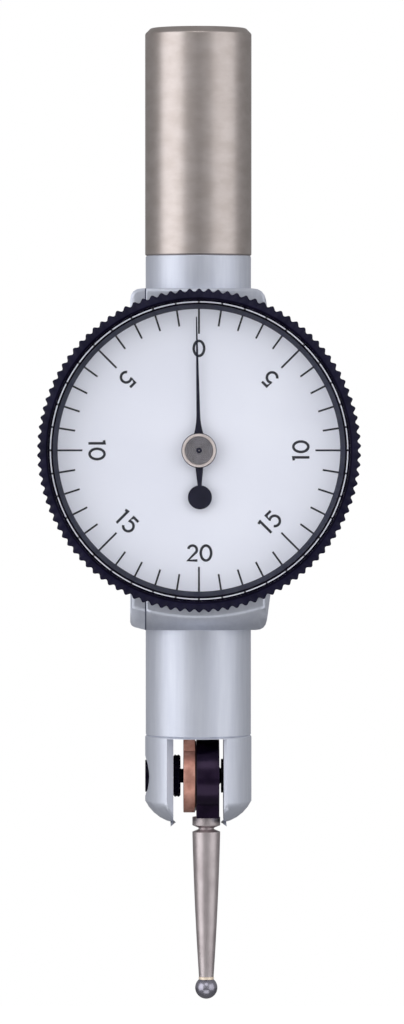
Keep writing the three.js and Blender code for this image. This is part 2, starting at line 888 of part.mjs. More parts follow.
function makeLockNut() {
  const tip = lockNutDiameter / 2;
  const root = tip - lockNutToothDepth;
  const outline = [];
  for (let i = 0; i < lockNutTeeth; i += 1) {
    const middle = (i * 2 * Math.PI) / lockNutTeeth;
    const half = Math.PI / lockNutTeeth;
    outline.push([tip * Math.cos(middle), tip * Math.sin(middle)]);
    outline.push([root * Math.cos(middle + half), root * Math.sin(middle + half)]);
  }
  const middleX = (slotLeftX + nutRightX) / 2;
  const groove = turned(
    [
      [tip + lockNutGroove, middleX - 2 * lockNutGroove],
      [tip + lockNutGroove, middleX + 2 * lockNutGroove],
      [tip - lockNutGroove, middleX],
    ],
    smallSteps,
  );
  const hole = rod(
    pivotScrewRadius + runningFit,
    slotLeftX - cutOverrun,
    nutRightX + cutOverrun,
    smallSteps,
  );
  const rim = turned(
    [
      [0, slotLeftX],
      [tip - lockNutEdge, slotLeftX],
      [tip, slotLeftX + lockNutEdge],
      [tip, nutRightX - lockNutEdge],
      [tip - lockNutEdge, nutRightX],
      [0, nutRightX],
    ],
    2 * lockNutTeeth,
  );
  return geometryOf(
    cutAway(
      solidOf(plate(polygon(outline), slotLeftX, nutRightX)).intersect(solidOf(rim)),
      solidOf(groove),
      solidOf(hole),
    ),
  );
}

// Measuring lever with its sector, in the lever's frame

const rivetRadius = rivetDiameter / 2;
const spacerTop = lapTop - armWidth / 2;
const rivetHeights = [lapFoot + rivetInset, spacerTop - rivetInset];

function rivetHoles(low, high) {
  return rivetHeights.map((height) =>
    solidOf(rod(rivetRadius + pressFit, low, high, tinySteps).translate(0, height, 0)),
  );
}

function makeMeasuringLever() {
  const half = armWidth / 2;
  const rootHalf = armRootWidth / 2;
  const meet = Math.asin(rootHalf / headRadius);
  const shape = new THREE.Shape();
  shape.absarc(0, 0, headRadius, Math.PI / 2 + meet, (5 * Math.PI) / 2 - meet);
  shape.lineTo(rootHalf, armRootRise);
  shape.lineTo(half, armRootRise + armRootTaper);
  shape.absarc(0, lapTop - half, half, 0, Math.PI);
  shape.lineTo(-half, armRootRise + armRootTaper);
  shape.lineTo(-rootHalf, armRootRise);
  shape.closePath();
  const hole = rod(
    pivotShaftRadius + pressFit,
    leverLeftX - cutOverrun,
    leverRightX + cutOverrun,
    smallSteps,
  );
  return geometryOf(
    cutAway(
      solidOf(plate(shape, leverLeftX, leverRightX, smallSteps)),
      solidOf(hole),
      ...rivetHoles(leverLeftX - cutOverrun, leverRightX + cutOverrun),
    ),
  );
}

function makeSectorSpacer() {
  const shape = roundedRectangle(armWidth / 2, lapFoot, spacerTop, rivetRadius);
  return geometryOf(
    cutAway(
      solidOf(plate(shape, sectorRightX, leverLeftX, cornerSteps)),
      ...rivetHoles(sectorRightX - cutOverrun, leverLeftX + cutOverrun),
    ),
  );
}

function makeSectorGear() {
  const half = armWidth / 2;
  const step = toothPitch / sectorRadius;
  const root = sectorRadius - dedendum;
  const halfTeeth = Math.ceil(sectorTeeth / 2);
  const reach = halfTeeth * step;
  const atTurn = (turn, radius) => [radius * Math.sin(turn), radius * Math.cos(turn)];
  const outline = [
    [-half, lapFoot],
    [half, lapFoot],
    [half, root - sectorFlare],
    atTurn(reach, root),
  ];
  for (let i = halfTeeth; i > -halfTeeth; i -= 1) {
    const corners = toothCorners((i - 1 / 2) * step, sectorRadius).reverse();
    outline.push(...corners.map(([turn, radius]) => atTurn(turn, radius)));
  }
  outline.push(atTurn(-reach, root), [-half, root - sectorFlare]);
  return geometryOf(
    cutAway(
      solidOf(plate(polygon(outline), sectorLeftX, sectorRightX)),
      ...rivetHoles(sectorLeftX - cutOverrun, sectorRightX + cutOverrun),
    ),
  );
}

function makeRivet(height) {
  return turned(
    [
      [0, sectorLeftX - rivetHeadHeight],
      [rivetHeadDiameter / 2, sectorLeftX - rivetHeadHeight],
      [rivetHeadDiameter / 2, sectorLeftX],
      [rivetRadius, sectorLeftX],
      [rivetRadius, leverRightX],
      [rivetHeadDiameter / 2, leverRightX],
      [rivetHeadDiameter / 2, leverRightX + rivetHeadHeight],
      [0, leverRightX + rivetHeadHeight],
    ],
    tinySteps,
  ).translate(0, height, 0);
}

function makeClutchWasher() {
  return tube(
    pivotShaftRadius + runningFit,
    clutchWasherDiameter / 2,
    leverRightX + clutchWasherPlay,
    holderLeftX - clutchWasherPlay,
    smallSteps,
  );
}

function makeLimitPin() {
  return rod(limitPinRadius, leverLeftX + runningFit, pocketFloorX + limitPinDepth, tinySteps);
}

// Stylus, in the lever's frame

const contactX = (holderLeftX + holderRightX) / 2 - contactShift;
const contactFrame = new THREE.Matrix4().setPosition(contactX, 0, pivotZ);
const contactSpigotRadius = contactSpigotDiameter / 2;

function makeStylusHolder() {
  const half = holderFootWidth / 2;
  const meet = Math.asin(half / headRadius);
  const shape = new THREE.Shape();
  shape.moveTo(-half, -holderDrop);
  shape.lineTo(half, -holderDrop);
  shape.absarc(0, 0, headRadius, meet - Math.PI / 2, (3 * Math.PI) / 2 - meet);
  shape.closePath();
  const hole = rod(
    pivotShaftRadius + runningFit,
    holderLeftX - cutOverrun,
    holderRightX + cutOverrun,
    smallSteps,
  );
  const thread = rod(
    contactSpigotRadius + runningFit,
    -holderDrop - cutOverrun,
    -holderDrop + contactSpigotLength + runningFit,
    tinySteps,
  );
  return geometryOf(
    cutAway(
      solidOf(plate(shape, holderLeftX, holderRightX, smallSteps)),
      solidOf(hole),
      solidOf(thread, poseIn(leverFrame, contactFrame)),
    ),
  );
}

function makeContactStem() {
  const collar = contactCollarDiameter / 2;
  const tip = contactTipDiameter / 2;
  const cup = ballDiameter / 2 + brazeGap;
  const grooveTop = -holderDrop - contactCollarLength;
  const taperTop = grooveTop - contactGrooveLength;
  const rim = -contactReach + Math.sqrt(cup * cup - tip * tip);
  const taper = new THREE.QuadraticBezierCurve(
    new THREE.Vector2(tip, rim),
    new THREE.Vector2((tip + collar) / 2 + 2 * contactBulge, (rim + taperTop) / 2),
    new THREE.Vector2(collar, taperTop),
  );
  const spigotTop = -holderDrop + contactSpigotLength;
  return turned(
    [
      [0, -contactReach + cup],
      [tip / 2, -contactReach + Math.sqrt(cup * cup - (tip * tip) / 4)],
      ...taper.getPoints(taperSteps).map((point) => [point.x, point.y]),
      [contactGrooveDiameter / 2, (grooveTop + taperTop) / 2],
      [collar, grooveTop],
      [collar, -holderDrop],
      [contactSpigotRadius, -holderDrop],
      [contactSpigotRadius, spigotTop],
      [0, spigotTop],
    ],
    tinySteps,
  );
}

function makeContactBall() {
  return new THREE.SphereGeometry(ballDiameter / 2, smallSteps, smallSteps / 2)
    .rotateX(Math.PI / 2)
    .translate(0, 0, -contactReach);
}

// Movement

function makeCock() {
  const half = cockFootWidth / 2;
  const shape = new THREE.Shape();
  shape.moveTo(half, shelfTop - runningFit);
  shape.lineTo(-half, shelfTop - runningFit);
  shape.lineTo(-half, pocketTop);
  shape.absarc(0, 0, cockEndRadius, Math.PI, 2 * Math.PI);
  shape.lineTo(half, pocketTop);
  shape.closePath();
  const screwHoles = cockScrewPoses.map((pose) =>
    solidOf(
      rod(screwShankRadius + runningFit, -cockThickness - cutOverrun, cutOverrun, tinySteps),
      poseIn(crownFrame, pose),
    ),
  );
  return geometryOf(
    cutAway(
      solidOf(plate(shape, cockLeftX, cockRightX, tinySteps)),
      solidOf(
        jewelHole(cockLeftX - cutOverrun, cockRightX + cutOverrun),
      ),
      ...screwHoles,
    ),
  );
}

function makeCockScrew() {
  const head = cockScrewHeadDiameter / 2;
  const length = cockThickness + cockScrewDepth;
  const body = turned(
    [
      [0, -length],
      [screwShankRadius, -length],
      [screwShankRadius, 0],
      [head, 0],
      [head, cockScrewHeadHeight],
      [0, cockScrewHeadHeight],
    ],
    tinySteps,
  );
  const slot = boxBetween(
    [-cockScrewHeadDiameter, -screwSlotWidth / 2, cockScrewHeadHeight - screwSlotDepth],
    [cockScrewHeadDiameter, screwSlotWidth / 2, cutOverrun],
  );
  return geometryOf(solidOf(body).subtract(solidOf(slot)));
}

function jewel(low, holeRadius) {
  return tube(holeRadius, jewelRadius, low, low + jewelThickness, tinySteps);
}

const pivotRadius = arborPivotDiameter / 2;

// The crown gear: teeth on the face of its rim, pointing right, in the crown's frame.
function makeCrownGear() {
  const rimInner = crownOuterRadius - crownRimWidth;
  const hub = crownHubDiameter / 2;
  const bore = arborRadius + pressFit;
  const webRight = crownLeftX + crownWebThickness;
  const wheel = turned(
    [
      [bore, crownLeftX],
      [crownOuterRadius, crownLeftX],
      [crownOuterRadius, crownRightX],
      [rimInner, crownRightX],
      [rimInner, webRight],
      [hub, webRight],
      [hub, crownRightX],
      [bore, crownRightX],
    ],
    smallSteps,
  );
  const rootHalf = halfTooth(-dedendum);
  const tipHalf = halfTooth(addendum);
  const tooth = polygon([
    [-rootHalf, crownRightX - dedendum],
    [rootHalf, crownRightX - dedendum],
    [rootHalf, crownRightX],
    [tipHalf, crownRightX + dedendum + addendum],
    [-tipHalf, crownRightX + dedendum + addendum],
    [-rootHalf, crownRightX],
  ]);
  const toothEnd = Math.cos(Math.PI / smallSteps) * crownOuterRadius - pressFit;
  const toothSolid = plate(tooth, toothEnd - crownFaceWidth, toothEnd);
  const gear = [solidOf(wheel)];
  for (let i = 0; i < crownTeeth; i += 1) {
    const turn = Math.PI + ((i + 1 / 2) * 2 * Math.PI) / crownTeeth;
    const frame = new THREE.Matrix4()
      .makeRotationZ(turn)
      .multiply(new THREE.Matrix4().makeBasis(axisY, axisZ, axisX));
    gear.push(solidOf(toothSolid, frame));
  }
  let wheelBody = wasm.Manifold.union(gear);
  const holeReach = (rimInner + hub) / 2;
  for (let i = 0; i < crownHoles; i += 1) {
    const turn = (i * 2 * Math.PI) / crownHoles;
    const hole = rod(crownHoleDiameter / 2, crownLeftX - cutOverrun, webRight + cutOverrun, tinySteps);
    hole.translate(holeReach * Math.cos(turn), holeReach * Math.sin(turn), 0);
    wheelBody = wheelBody.subtract(solidOf(hole));
  }
  return geometryOf(wheelBody);
}

function makeCrownArbor() {
  const left = cockRightX + arborEndPlay;
  const right = pocketFloorX - arborEndPlay;
  const shaft = turned(
    [
      [0, left - arborPivotLength],
      [pivotRadius, left - arborPivotLength],
      [pivotRadius, left],
      [arborRadius, left],
      [arborRadius, right],
      [pivotRadius, right],
      [pivotRadius, right + arborPivotLength],
      [0, right + arborPivotLength],
    ],
    tinySteps,
  );
  const pinion = plate(
    wheelOutline(crownPinionTeeth, crownPinionRadius, -Math.PI / 2),
    sectorLeftX - pinionSideMargin,
    sectorRightX + pinionSideMargin,
  );
  return geometryOf(solidOf(shaft).add(solidOf(pinion)));
}

// Dial side, in the dial frame

const journalRadius = journalDiameter / 2;
const hubTopZ = dialFrontZ + hubLift + hubHeight;
const flangeRearZ = hubTopZ - hubFlangeThickness;

function makePointerArbor() {
  const rear = fingerFrontZ + arborEndPlay;
  const front = -jewelThickness - arborEndPlay;
  const shaft = turned(
    [
      [0, rear - arborPivotLength],
      [pivotRadius, rear - arborPivotLength],
      [pivotRadius, rear],
      [arborRadius, rear],
      [arborRadius, front - runningFit],
      [journalRadius, front - runningFit],
      [journalRadius, hubTopZ - hubDishDepth],
      [0, hubTopZ - hubDishDepth],
    ],
    tinySteps,
  );
  const pinion = plate(
    wheelOutline(pointerPinionTeeth, pointerPinionRadius, Math.PI),
    pinionRearZ,
    pinionRearZ + pointerPinionWidth,
  );
  return geometryOf(solidOf(shaft).add(solidOf(pinion)));
}

function makeCollet() {
  const low = springLift + (springWidth - colletHeight) / 2;
  return tube(journalRadius + pressFit, colletDiameter / 2, low, low + colletHeight, tinySteps);
}

function makeHairspring() {
  const steps = Math.round(springTurns * tinySteps);
  const edge = (offset) => {
    const line = [];
    for (let i = 0; i <= steps; i += 1) {
      const share = i / steps;
      const radius = springInner + (springOuter - springInner) * share + offset;
      const turn = share * springEndTurn;
      line.push([radius * Math.cos(turn), radius * Math.sin(turn)]);
    }
    return line;
  };
  const outline = [...edge(springThickness / 2), ...edge(-springThickness / 2).reverse()];
  return plate(polygon(outline), springLift, springLift + springWidth);
}

function makeStud() {
  return rod(studRadius, -studDepth, springLift + springWidth, tinySteps).translate(studX, studY, 0);
}

function makeDialBase() {
  const groove = baseRadius - ringDepth - ringPlay;
  const low = ringLift - ringPlay;
  const high = ringLift + ringWidth + ringPlay;
  let base = solidOf(
    turned(
      [
        [wellRadius, 0],
        [baseRadius, 0],
        [baseRadius, low],
        [groove, low],
        [groove, high],
        [baseRadius, high],
        [baseRadius, baseThickness],
        [wellRadius, baseThickness],
      ],
      fineSteps / 2,
    ),
  );
  for (const pose of baseScrewPoses) {
    base = base.subtract(countersunkHole(baseScrewLength, poseIn(dialFrame, pose)));
  }
  return geometryOf(base);
}

function makeRetainingRing() {
  const inner = baseRadius - ringDepth;
  const outer = skirtRadius + ringBite;
  const half = THREE.MathUtils.degToRad(ringOpening) / 2;
  const shape = new THREE.Shape();
  shape.absarc(0, 0, outer, half - Math.PI / 2, (3 * Math.PI) / 2 - half, false);
  shape.absarc(0, 0, inner, (3 * Math.PI) / 2 - half, half - Math.PI / 2, true);
  shape.closePath();
  return plate(shape, ringLift, ringLift + ringWidth, roundSteps);
}

function makeBezel() {
  const outline = [];
  const pitch = (2 * Math.PI) / gripTeeth;
  for (let i = 0; i < gripTeeth; i += 1) {
    const middle = Math.PI / 2 + i * pitch;
    const tip = (gripTipShare * pitch) / 2;
    outline.push(
      [middle - tip, gripTipRadius],
      [middle + tip, gripTipRadius],
      [middle + pitch / 2, gripRootRadius],
    );
  }
  const grip = plate(
    polygon(outline.map(([turn, radius]) => [radius * Math.cos(turn), radius * Math.sin(turn)])),
    bezelRearGap,
    bezelFrontZ,
  );
  const recess = crystalRadius + runningFit;
  const ringGroove = skirtRadius + ringBite + ringPlay;
  const grooveLow = ringLift - ringPlay;
  const grooveHigh = ringLift + ringWidth + ringPlay;
  const bore = turned(
    [
      [0, bezelRearGap - cutOverrun],
      [skirtRadius, bezelRearGap - cutOverrun],
      [skirtRadius, grooveLow],
      [ringGroove, grooveLow],
      [ringGroove, grooveHigh],
      [skirtRadius, grooveHigh],
      [skirtRadius, dialFrontZ],
      [openingRadius, dialFrontZ],
      [openingRadius + rehautSlope, crystalRearZ],
      [recess, crystalRearZ],
      [recess, bezelFrontZ - bezelEdge],
      [recess + bezelEdge + cutOverrun, bezelFrontZ + cutOverrun],
      [0, bezelFrontZ + cutOverrun],
    ],
    fineSteps,
  );
  return geometryOf(solidOf(grip).subtract(solidOf(bore)));
}

function makeDialPlate() {
  return tube(
    dialHoleDiameter / 2,
    skirtRadius - bezelFit,
    dialRearZ,
    dialFrontZ,
    fineSteps / 2,
  );
}

function makeCrystal() {
  return turned(
    [
      [0, crystalRearZ],
      [crystalRadius, crystalRearZ],
      [crystalRadius, crystalFrontZ - crystalEdge],
      [crystalRadius - crystalEdge, crystalFrontZ],
      [0, crystalFrontZ],
    ],
    fineSteps / 2,
  );
}

function makePointer() {
  const reach = openingRadius - pointerTipGap;
  const weight = counterweightDiameter / 2;
  const neck = pointerTailNeckWidth / 2;
  const neckTurn = Math.asin(neck / weight);
  const shape = new THREE.Shape();
  shape.moveTo(pointerTipWidth / 2, reach);
  shape.lineTo(-pointerTipWidth / 2, reach);
  shape.lineTo(-pointerWaistWidth / 2, pointerWaistReach);
  shape.lineTo(-pointerRootWidth / 2, 0);
  shape.lineTo(-pointerTailWidth / 2, -hubFlangeDiameter / 2);
  shape.absarc(
    0,
    -counterweightReach,
    weight,
    Math.PI / 2 + neckTurn,
    (5 * Math.PI) / 2 - neckTurn,
  );
  shape.lineTo(pointerTailWidth / 2, -hubFlangeDiameter / 2);
  shape.lineTo(pointerRootWidth / 2, 0);
  shape.lineTo(pointerWaistWidth / 2, pointerWaistReach);
  shape.closePath();
  const low = flangeRearZ - bladeThickness;
  const eyeRadius = (hubFlangeDiameter + hubSleeveDiameter) / 2 / 2;
  const eye = rod(eyeRadius, low, flangeRearZ, tinySteps);
  const hole = rod(
    hubSleeveDiameter / 2 + pressFit,
    low - cutOverrun,
    flangeRearZ + cutOverrun,
    smallSteps,
  );
  const blade = solidOf(plate(shape, low, flangeRearZ, tinySteps));
  return geometryOf(blade.add(solidOf(eye)).subtract(solidOf(hole)));
}

function makePointerHub() {
  const bore = journalRadius + pressFit;
  const sleeve = hubSleeveDiameter / 2;
  const flange = hubFlangeDiameter / 2;
  const dish = hubDishDiameter / 2;
  return turned(
    [
      [bore, dialFrontZ + hubLift],
      [sleeve, dialFrontZ + hubLift],
      [sleeve, flangeRearZ],
      [flange, flangeRearZ],
      [flange, hubTopZ],
      [dish, hubTopZ],
      [dish, hubTopZ - hubDishDepth],
      [bore, hubTopZ - hubDishDepth],
    ],
    smallSteps,
  );
}

// Finishes: colour, roughness and metalness

const finishes = {
  nickel: ["#b9aca4", 0.25, 1],
  satinSteel: ["#c3c8d4", 0.35, 1],
  steel: ["#a9adb6", 0.3, 1],
  blackSteel: ["#17161c", 0.4, 0.6],
  bronze: ["#a8754f", 0.35, 1],
  brass: ["#c9a978", 0.3, 1],
  ruby: ["#a3142f", 0.15, 0],
  springSteel: ["#5f6b88", 0.3, 1],
  paintedWhite: ["#dcdee6", 0.6, 0],
  blackPaint: ["#101014", 0.5, 0],
  clear: ["#eef2f5", 0.05, 0],
  carbide: ["#3a3b42", 0.12, 1],
};

function meshOf(name, geometry, finish) {
  const [color, roughness, metalness] = finishes[finish];
  const clear = finish === "clear";
  const material = new THREE.MeshStandardMaterial({
    color,
    roughness,
    metalness,
    transparent: clear,
    opacity: clear ? 0.3 : 1,
  });
  const mesh = new THREE.Mesh(geometry, material);
  mesh.name = name;
  return mesh;
}

function groupAt(frame, ...meshes) {
  const group = new THREE.Group();
  group.applyMatrix4(frame);
  group.add(...meshes);
  return group;
}

// A run of equal pieces, numbered from 1.
function copies(name, poses, makeGeometry, finish) {
  return poses.map((pose, i) => {
    const mesh = meshOf(`${name}_${i + 1}`, makeGeometry(), finish);
    mesh.applyMatrix4(pose);
    return mesh;
  });
}

// Assembly

const pinPoses = [-1, 1].map((side) =>
  leverFrame.clone().multiply(new THREE.Matrix4().setPosition(side * limitPinY, limitRise, 0)),
);

const fixedPieces = [
  meshOf("stem", makeStem(), "nickel"),
  meshOf("housing", makeHousing(), "satinSteel"),
  meshOf("side_cover", makeSideCover(), "satinSteel"),
  ...copies("side_cover_screw", coverScrewPoses, () => countersunkScrew(coverScrewLength), "steel"),
  ...copies("dial_base_screw", baseScrewPoses, () => countersunkScrew(baseScrewLength), "steel"),
  ...copies("cock_screw", cockScrewPoses, makeCockScrew, "steel"),
  ...copies("limit_pin", pinPoses, makeLimitPin, "steel"),
  groupAt(forkFrame, meshOf("fork_head", makeForkHead(), "satinSteel")),
  groupAt(
    leverFrame,
    meshOf("pivot_screw", makePivotScrew(), "steel"),
    meshOf("pivot_lock_nut", makeLockNut(), "blackSteel"),
    meshOf("pivot_bearing", makePivotBearing(), "blackSteel"),
  ),
  groupAt(
    crownFrame,
    meshOf("movement_cock", makeCock(), "brass"),
    meshOf("crown_jewel_left", jewel(cockRightX - jewelThickness, pivotRadius + runningFit), "ruby"),
    meshOf("crown_jewel_right", jewel(pocketFloorX, pivotRadius + runningFit), "ruby"),
  ),
  groupAt(
    dialFrame,
    meshOf("pointer_jewel_front", jewel(-jewelThickness, journalRadius + runningFit), "ruby"),
    meshOf(
      "pointer_jewel_rear",
      jewel(fingerFrontZ - jewelThickness, pivotRadius + runningFit),
      "ruby",
    ),
    meshOf("dial_base", makeDialBase(), "steel"),
    meshOf("bezel_retaining_ring", makeRetainingRing(), "springSteel"),
    meshOf("hairspring", makeHairspring(), "springSteel"),
    meshOf("hairspring_stud", makeStud(), "brass"),
  ),
];

const bezelAssembly = groupAt(
  dialFrame,
  meshOf("bezel", makeBezel(), "blackSteel"),
  meshOf("dial_plate", makeDialPlate(), "paintedWhite"),
  meshOf("crystal", makeCrystal(), "clear"),
);

const pointerTurn = new THREE.Matrix4().makeRotationZ(THREE.MathUtils.degToRad(pointerRestTurn));
const pointerAssembly = groupAt(
  dialFrame,
  meshOf("pointer_arbor", makePointerArbor(), "steel"),
  meshOf("hairspring_collet", makeCollet(), "brass"),
  meshOf("pointer_hub", makePointerHub(), "brass"),
  groupAt(pointerTurn, meshOf("pointer", makePointer(), "blackPaint")),
);

const crownAssembly = groupAt(
  crownFrame,
  meshOf("crown_gear", makeCrownGear(), "brass"),
  meshOf("crown_arbor", makeCrownArbor(), "steel"),
);

const leverAssembly = groupAt(
  leverFrame,
  meshOf("measuring_lever", makeMeasuringLever(), "bronze"),
  meshOf("sector_spacer", makeSectorSpacer(), "brass"),
  meshOf("sector_gear", makeSectorGear(), "brass"),
  ...rivetHeights.map((height, i) => meshOf(`sector_rivet_${i + 1}`, makeRivet(height), "steel")),
  meshOf("pivot_shaft", makePivotShaft(), "blackSteel"),
  meshOf("clutch_washer", makeClutchWasher(), "springSteel"),
);

const stylusAssembly = new THREE.Group();
stylusAssembly.add(
  groupAt(leverFrame, meshOf("stylus_holder", makeStylusHolder(), "blackSteel")),
  groupAt(
    contactFrame,
    meshOf("contact_stem", makeContactStem(), "steel"),
    meshOf("contact_ball", makeContactBall(), "carbide"),
  ),
);

const part = new THREE.Group();
part.add(
  ...fixedPieces,
  bezelAssembly,
  pointerAssembly,
  crownAssembly,
  leverAssembly,
  stylusAssembly,
);

export default part;
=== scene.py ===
import json
import math

import bmesh
import bpy
import numpy as np
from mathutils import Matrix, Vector


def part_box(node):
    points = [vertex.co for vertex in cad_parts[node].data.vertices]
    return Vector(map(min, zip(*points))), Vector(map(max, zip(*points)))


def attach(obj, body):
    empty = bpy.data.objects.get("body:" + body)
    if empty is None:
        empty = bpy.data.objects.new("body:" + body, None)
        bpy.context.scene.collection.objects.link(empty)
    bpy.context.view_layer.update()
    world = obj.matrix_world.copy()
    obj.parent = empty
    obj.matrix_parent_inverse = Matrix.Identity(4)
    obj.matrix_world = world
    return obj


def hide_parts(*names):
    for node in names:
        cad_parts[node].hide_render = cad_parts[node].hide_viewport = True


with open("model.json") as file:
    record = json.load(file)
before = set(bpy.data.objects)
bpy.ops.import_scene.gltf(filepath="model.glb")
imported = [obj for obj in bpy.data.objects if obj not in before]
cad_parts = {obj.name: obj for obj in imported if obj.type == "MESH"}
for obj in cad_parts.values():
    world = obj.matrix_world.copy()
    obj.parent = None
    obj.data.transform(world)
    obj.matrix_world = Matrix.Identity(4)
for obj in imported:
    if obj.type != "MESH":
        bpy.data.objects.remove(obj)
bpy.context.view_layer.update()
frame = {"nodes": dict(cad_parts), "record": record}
mm = 0.001
turnFull = 2 * math.pi
tiny = 1e-9  # stands in for zero where lengths are compared or divided by
smoothAngle = 32
roundSteps = 5
arcShare = 0.49  # a corner's round takes at most this much of each side
mitreFloor = 0.4  # keeps a very sharp corner from shooting out

# Places are in millimetres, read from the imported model, and become metres in finishPiece.


def boxOf(node):
    low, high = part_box(node)
    return np.array(low) / mm, np.array(high) / mm


bezelLow, bezelHigh = boxOf("bezel")
dialLow, dialHigh = boxOf("dial_plate")
crystalLow, crystalHigh = boxOf("crystal")
pointerLow, pointerHigh = boxOf("pointer")
hubLow, hubHigh = boxOf("pointer_hub")
stemLow, stemHigh = boxOf("stem")
leverLow, leverHigh = boxOf("measuring_lever")
holderLow, holderHigh = boxOf("stylus_holder")
contactTop = boxOf("contact_stem")[1][2]
ballLow, ballHigh = boxOf("contact_ball")
nutLow, nutHigh = boxOf("pivot_lock_nut")
forkLow, forkHigh = boxOf("fork_head")
blockLow, blockHigh = boxOf("side_cover")
dialZ = (bezelLow[2] + bezelHigh[2]) / 2
pivotZ = (nutLow[2] + nutHigh[2]) / 2
ballZ = (ballLow[2] + ballHigh[2]) / 2
contactX = (ballLow[0] + ballHigh[0]) / 2
print("frame loaded")


# Frames: each takes points (x, y, h) and gives world places.
def onDial(points, faceY=0.0):  # x right, y up, h towards the reader
    return np.stack([points[:, 0], faceY - points[:, 2], dialZ + points[:, 1]], axis=1)


def onPivot(points):  # x to the back, y up, h to the right
    return np.stack([points[:, 2], points[:, 0], pivotZ + points[:, 1]], axis=1)


def upright(points, x=0.0):  # h along the stem
    return np.stack([x + points[:, 0], points[:, 1], points[:, 2]], axis=1)


# A grid of quads over rows and columns. The columns close on themselves, and the rows where asked.
def gridFaces(rows, columns, closed):
    last = rows if closed else rows - 1
    i, j = np.meshgrid(np.arange(last), np.arange(columns), indexing="ij")
    nextI, nextJ = (i + 1) % rows, (j + 1) % columns
    quads = [i * columns + j, i * columns + nextJ, nextI * columns + nextJ, nextI * columns + j]
    return np.stack(quads, axis=-1).reshape(-1, 4).tolist()


# Each corner of a polyline becomes a round of its own radius: points on a quadratic curve that
# starts and ends at that distance from the corner.
def roundedLine(corners, radii, steps=roundSteps, closed=False):
    corners = np.asarray(corners, float)
    count, line = len(corners), []
    for k in range(count):
        here = corners[k]
        if (not closed and k in (0, count - 1)) or radii[k] == 0:
            line.append(here)
            continue
        before = corners[k - 1] - here
        after = corners[(k + 1) % count] - here
        lengths = [np.linalg.norm(side) for side in (before, after)]
        reach = min(radii[k], *[length * arcShare for length in lengths])
        start = here + before / lengths[0] * reach
        end = here + after / lengths[1] * reach
        t = np.linspace(0, 1, steps)[:, None]
        line.extend((1 - t) ** 2 * start + 2 * t * (1 - t) * here + t * t * end)
    return np.array(line)


# A profile of (radius, height) turned about h. One that starts and ends on the axis is closed by
# poles, and any other is closed on itself.
def turnedMesh(profile, steps):
    profile = np.asarray(profile, float)
    solid = profile[0, 0] < tiny
    ring = profile[1:-1] if solid else profile
    turn = np.arange(steps) / steps * turnFull
    points = np.stack(
        [
            ring[:, :1] * np.cos(turn),
            ring[:, :1] * np.sin(turn),
            np.repeat(ring[:, 1:], steps, axis=1),
        ],
        axis=-1,
    ).reshape(-1, 3)
    faces = gridFaces(len(ring), steps, not solid)
    if solid:
        poles = np.array([[0, 0, profile[0, 1]], [0, 0, profile[-1, 1]]])
        points = np.concatenate([points, poles])
        first, last = len(points) - 2, (len(ring) - 1) * steps
        j = np.arange(steps)
        nextJ = (j + 1) % steps
        low = np.stack([np.full(steps, first), nextJ, j], axis=1)
        high = np.stack([np.full(steps, first + 1), last + j, last + nextJ], axis=1)
        faces += np.stack([low, high], axis=1).reshape(-1, 3).tolist()
    return points, faces


# The outward normal of each corner of a closed outline that runs anticlockwise, scaled so that
# moving a corner along it moves both its sides by one.
def outlineNormals(outline):
    before = outline - np.roll(outline, 1, axis=0)
    after = np.roll(outline, -1, axis=0) - outline
    before /= np.linalg.norm(before, axis=1, keepdims=True)
    after /= np.linalg.norm(after, axis=1, keepdims=True)
    a = np.stack([before[:, 1], -before[:, 0]], axis=1)
    b = np.stack([after[:, 1], -after[:, 0]], axis=1)
    total = a + b
    return total / np.maximum(1 + (a * b).sum(axis=1, keepdims=True), mitreFloor)


# A flat piece with rounded rims: the outline drawn in along quarter circles at both faces.
def plateMesh(outline, low, high, edge, steps=4):
    outline = np.asarray(outline, float)
    normals = outlineNormals(outline)
    quarter = np.linspace(0, math.pi / 2, steps)
    inset = edge * (1 - np.sin(quarter))
    lift = edge * (1 - np.cos(quarter))
    rows = [(inset[k], low + lift[k]) for k in range(steps)]
    rows += [(inset[k], high - lift[k]) for k in reversed(range(steps))]
    points = np.concatenate(
        [
            np.column_stack([outline - normals * draw, np.full(len(outline), height)])
            for draw, height in rows
        ]
    )
    count = len(outline)
    faces = gridFaces(len(rows), count, False)
    faces.append(list(range(count))[::-1])
    faces.append(list(range((len(rows) - 1) * count, len(rows) * count)))
    return points, faces


def arcPoints(centre, radius, start, stop, steps):
    turn = np.radians(np.linspace(start, stop, steps))
    return np.column_stack([centre[0] + radius * np.cos(turn), centre[1] + radius * np.sin(turn)])


def addObject(name, data):
    made = bpy.data.objects.new(name, data)
    bpy.context.scene.collection.objects.link(made)
    return made


# Shades a mesh smooth up to an angle, gives it its finish and body, and hides the CAD nodes it
# stands in for.
def placePiece(name, mesh, body, finish, nodes, smooth=smoothAngle):
    mesh.shade_smooth()
    mesh.set_sharp_from_angle(angle=math.radians(smooth))
    piece = addObject(name, mesh)
    piece.data.materials.append(finishes[finish])
    weighted = piece.modifiers.new("weightedNormals", "WEIGHTED_NORMAL")
    weighted.keep_sharp = True
    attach(piece, body)
    if nodes:
        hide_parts(*nodes)
    return piece


# Makes a piece's mesh in metres, with its faces turned outwards.
def finishPiece(name, points, faces, body, finish, nodes=(), smooth=smoothAngle):
    mesh = bpy.data.meshes.new(name)
    mesh.from_pydata((np.asarray(points) * mm).tolist(), [], faces)
    tool = bmesh.new()
    tool.from_mesh(mesh)
    bmesh.ops.recalc_face_normals(tool, faces=tool.faces)
    tool.to_mesh(mesh)
    tool.free()
    return placePiece(name, mesh, body, finish, nodes, smooth)


cadLimits = {
    "join": 0.002,
    "plane": 0.01,
    "flatAngle": 1,
    "edgeAngle": 15,
    "rimSteps": 3,
    "rimProfile": 0.5,  # a circular arc
    "tubeNear": 0.03,
    "tubeFacing": 0.99,
}


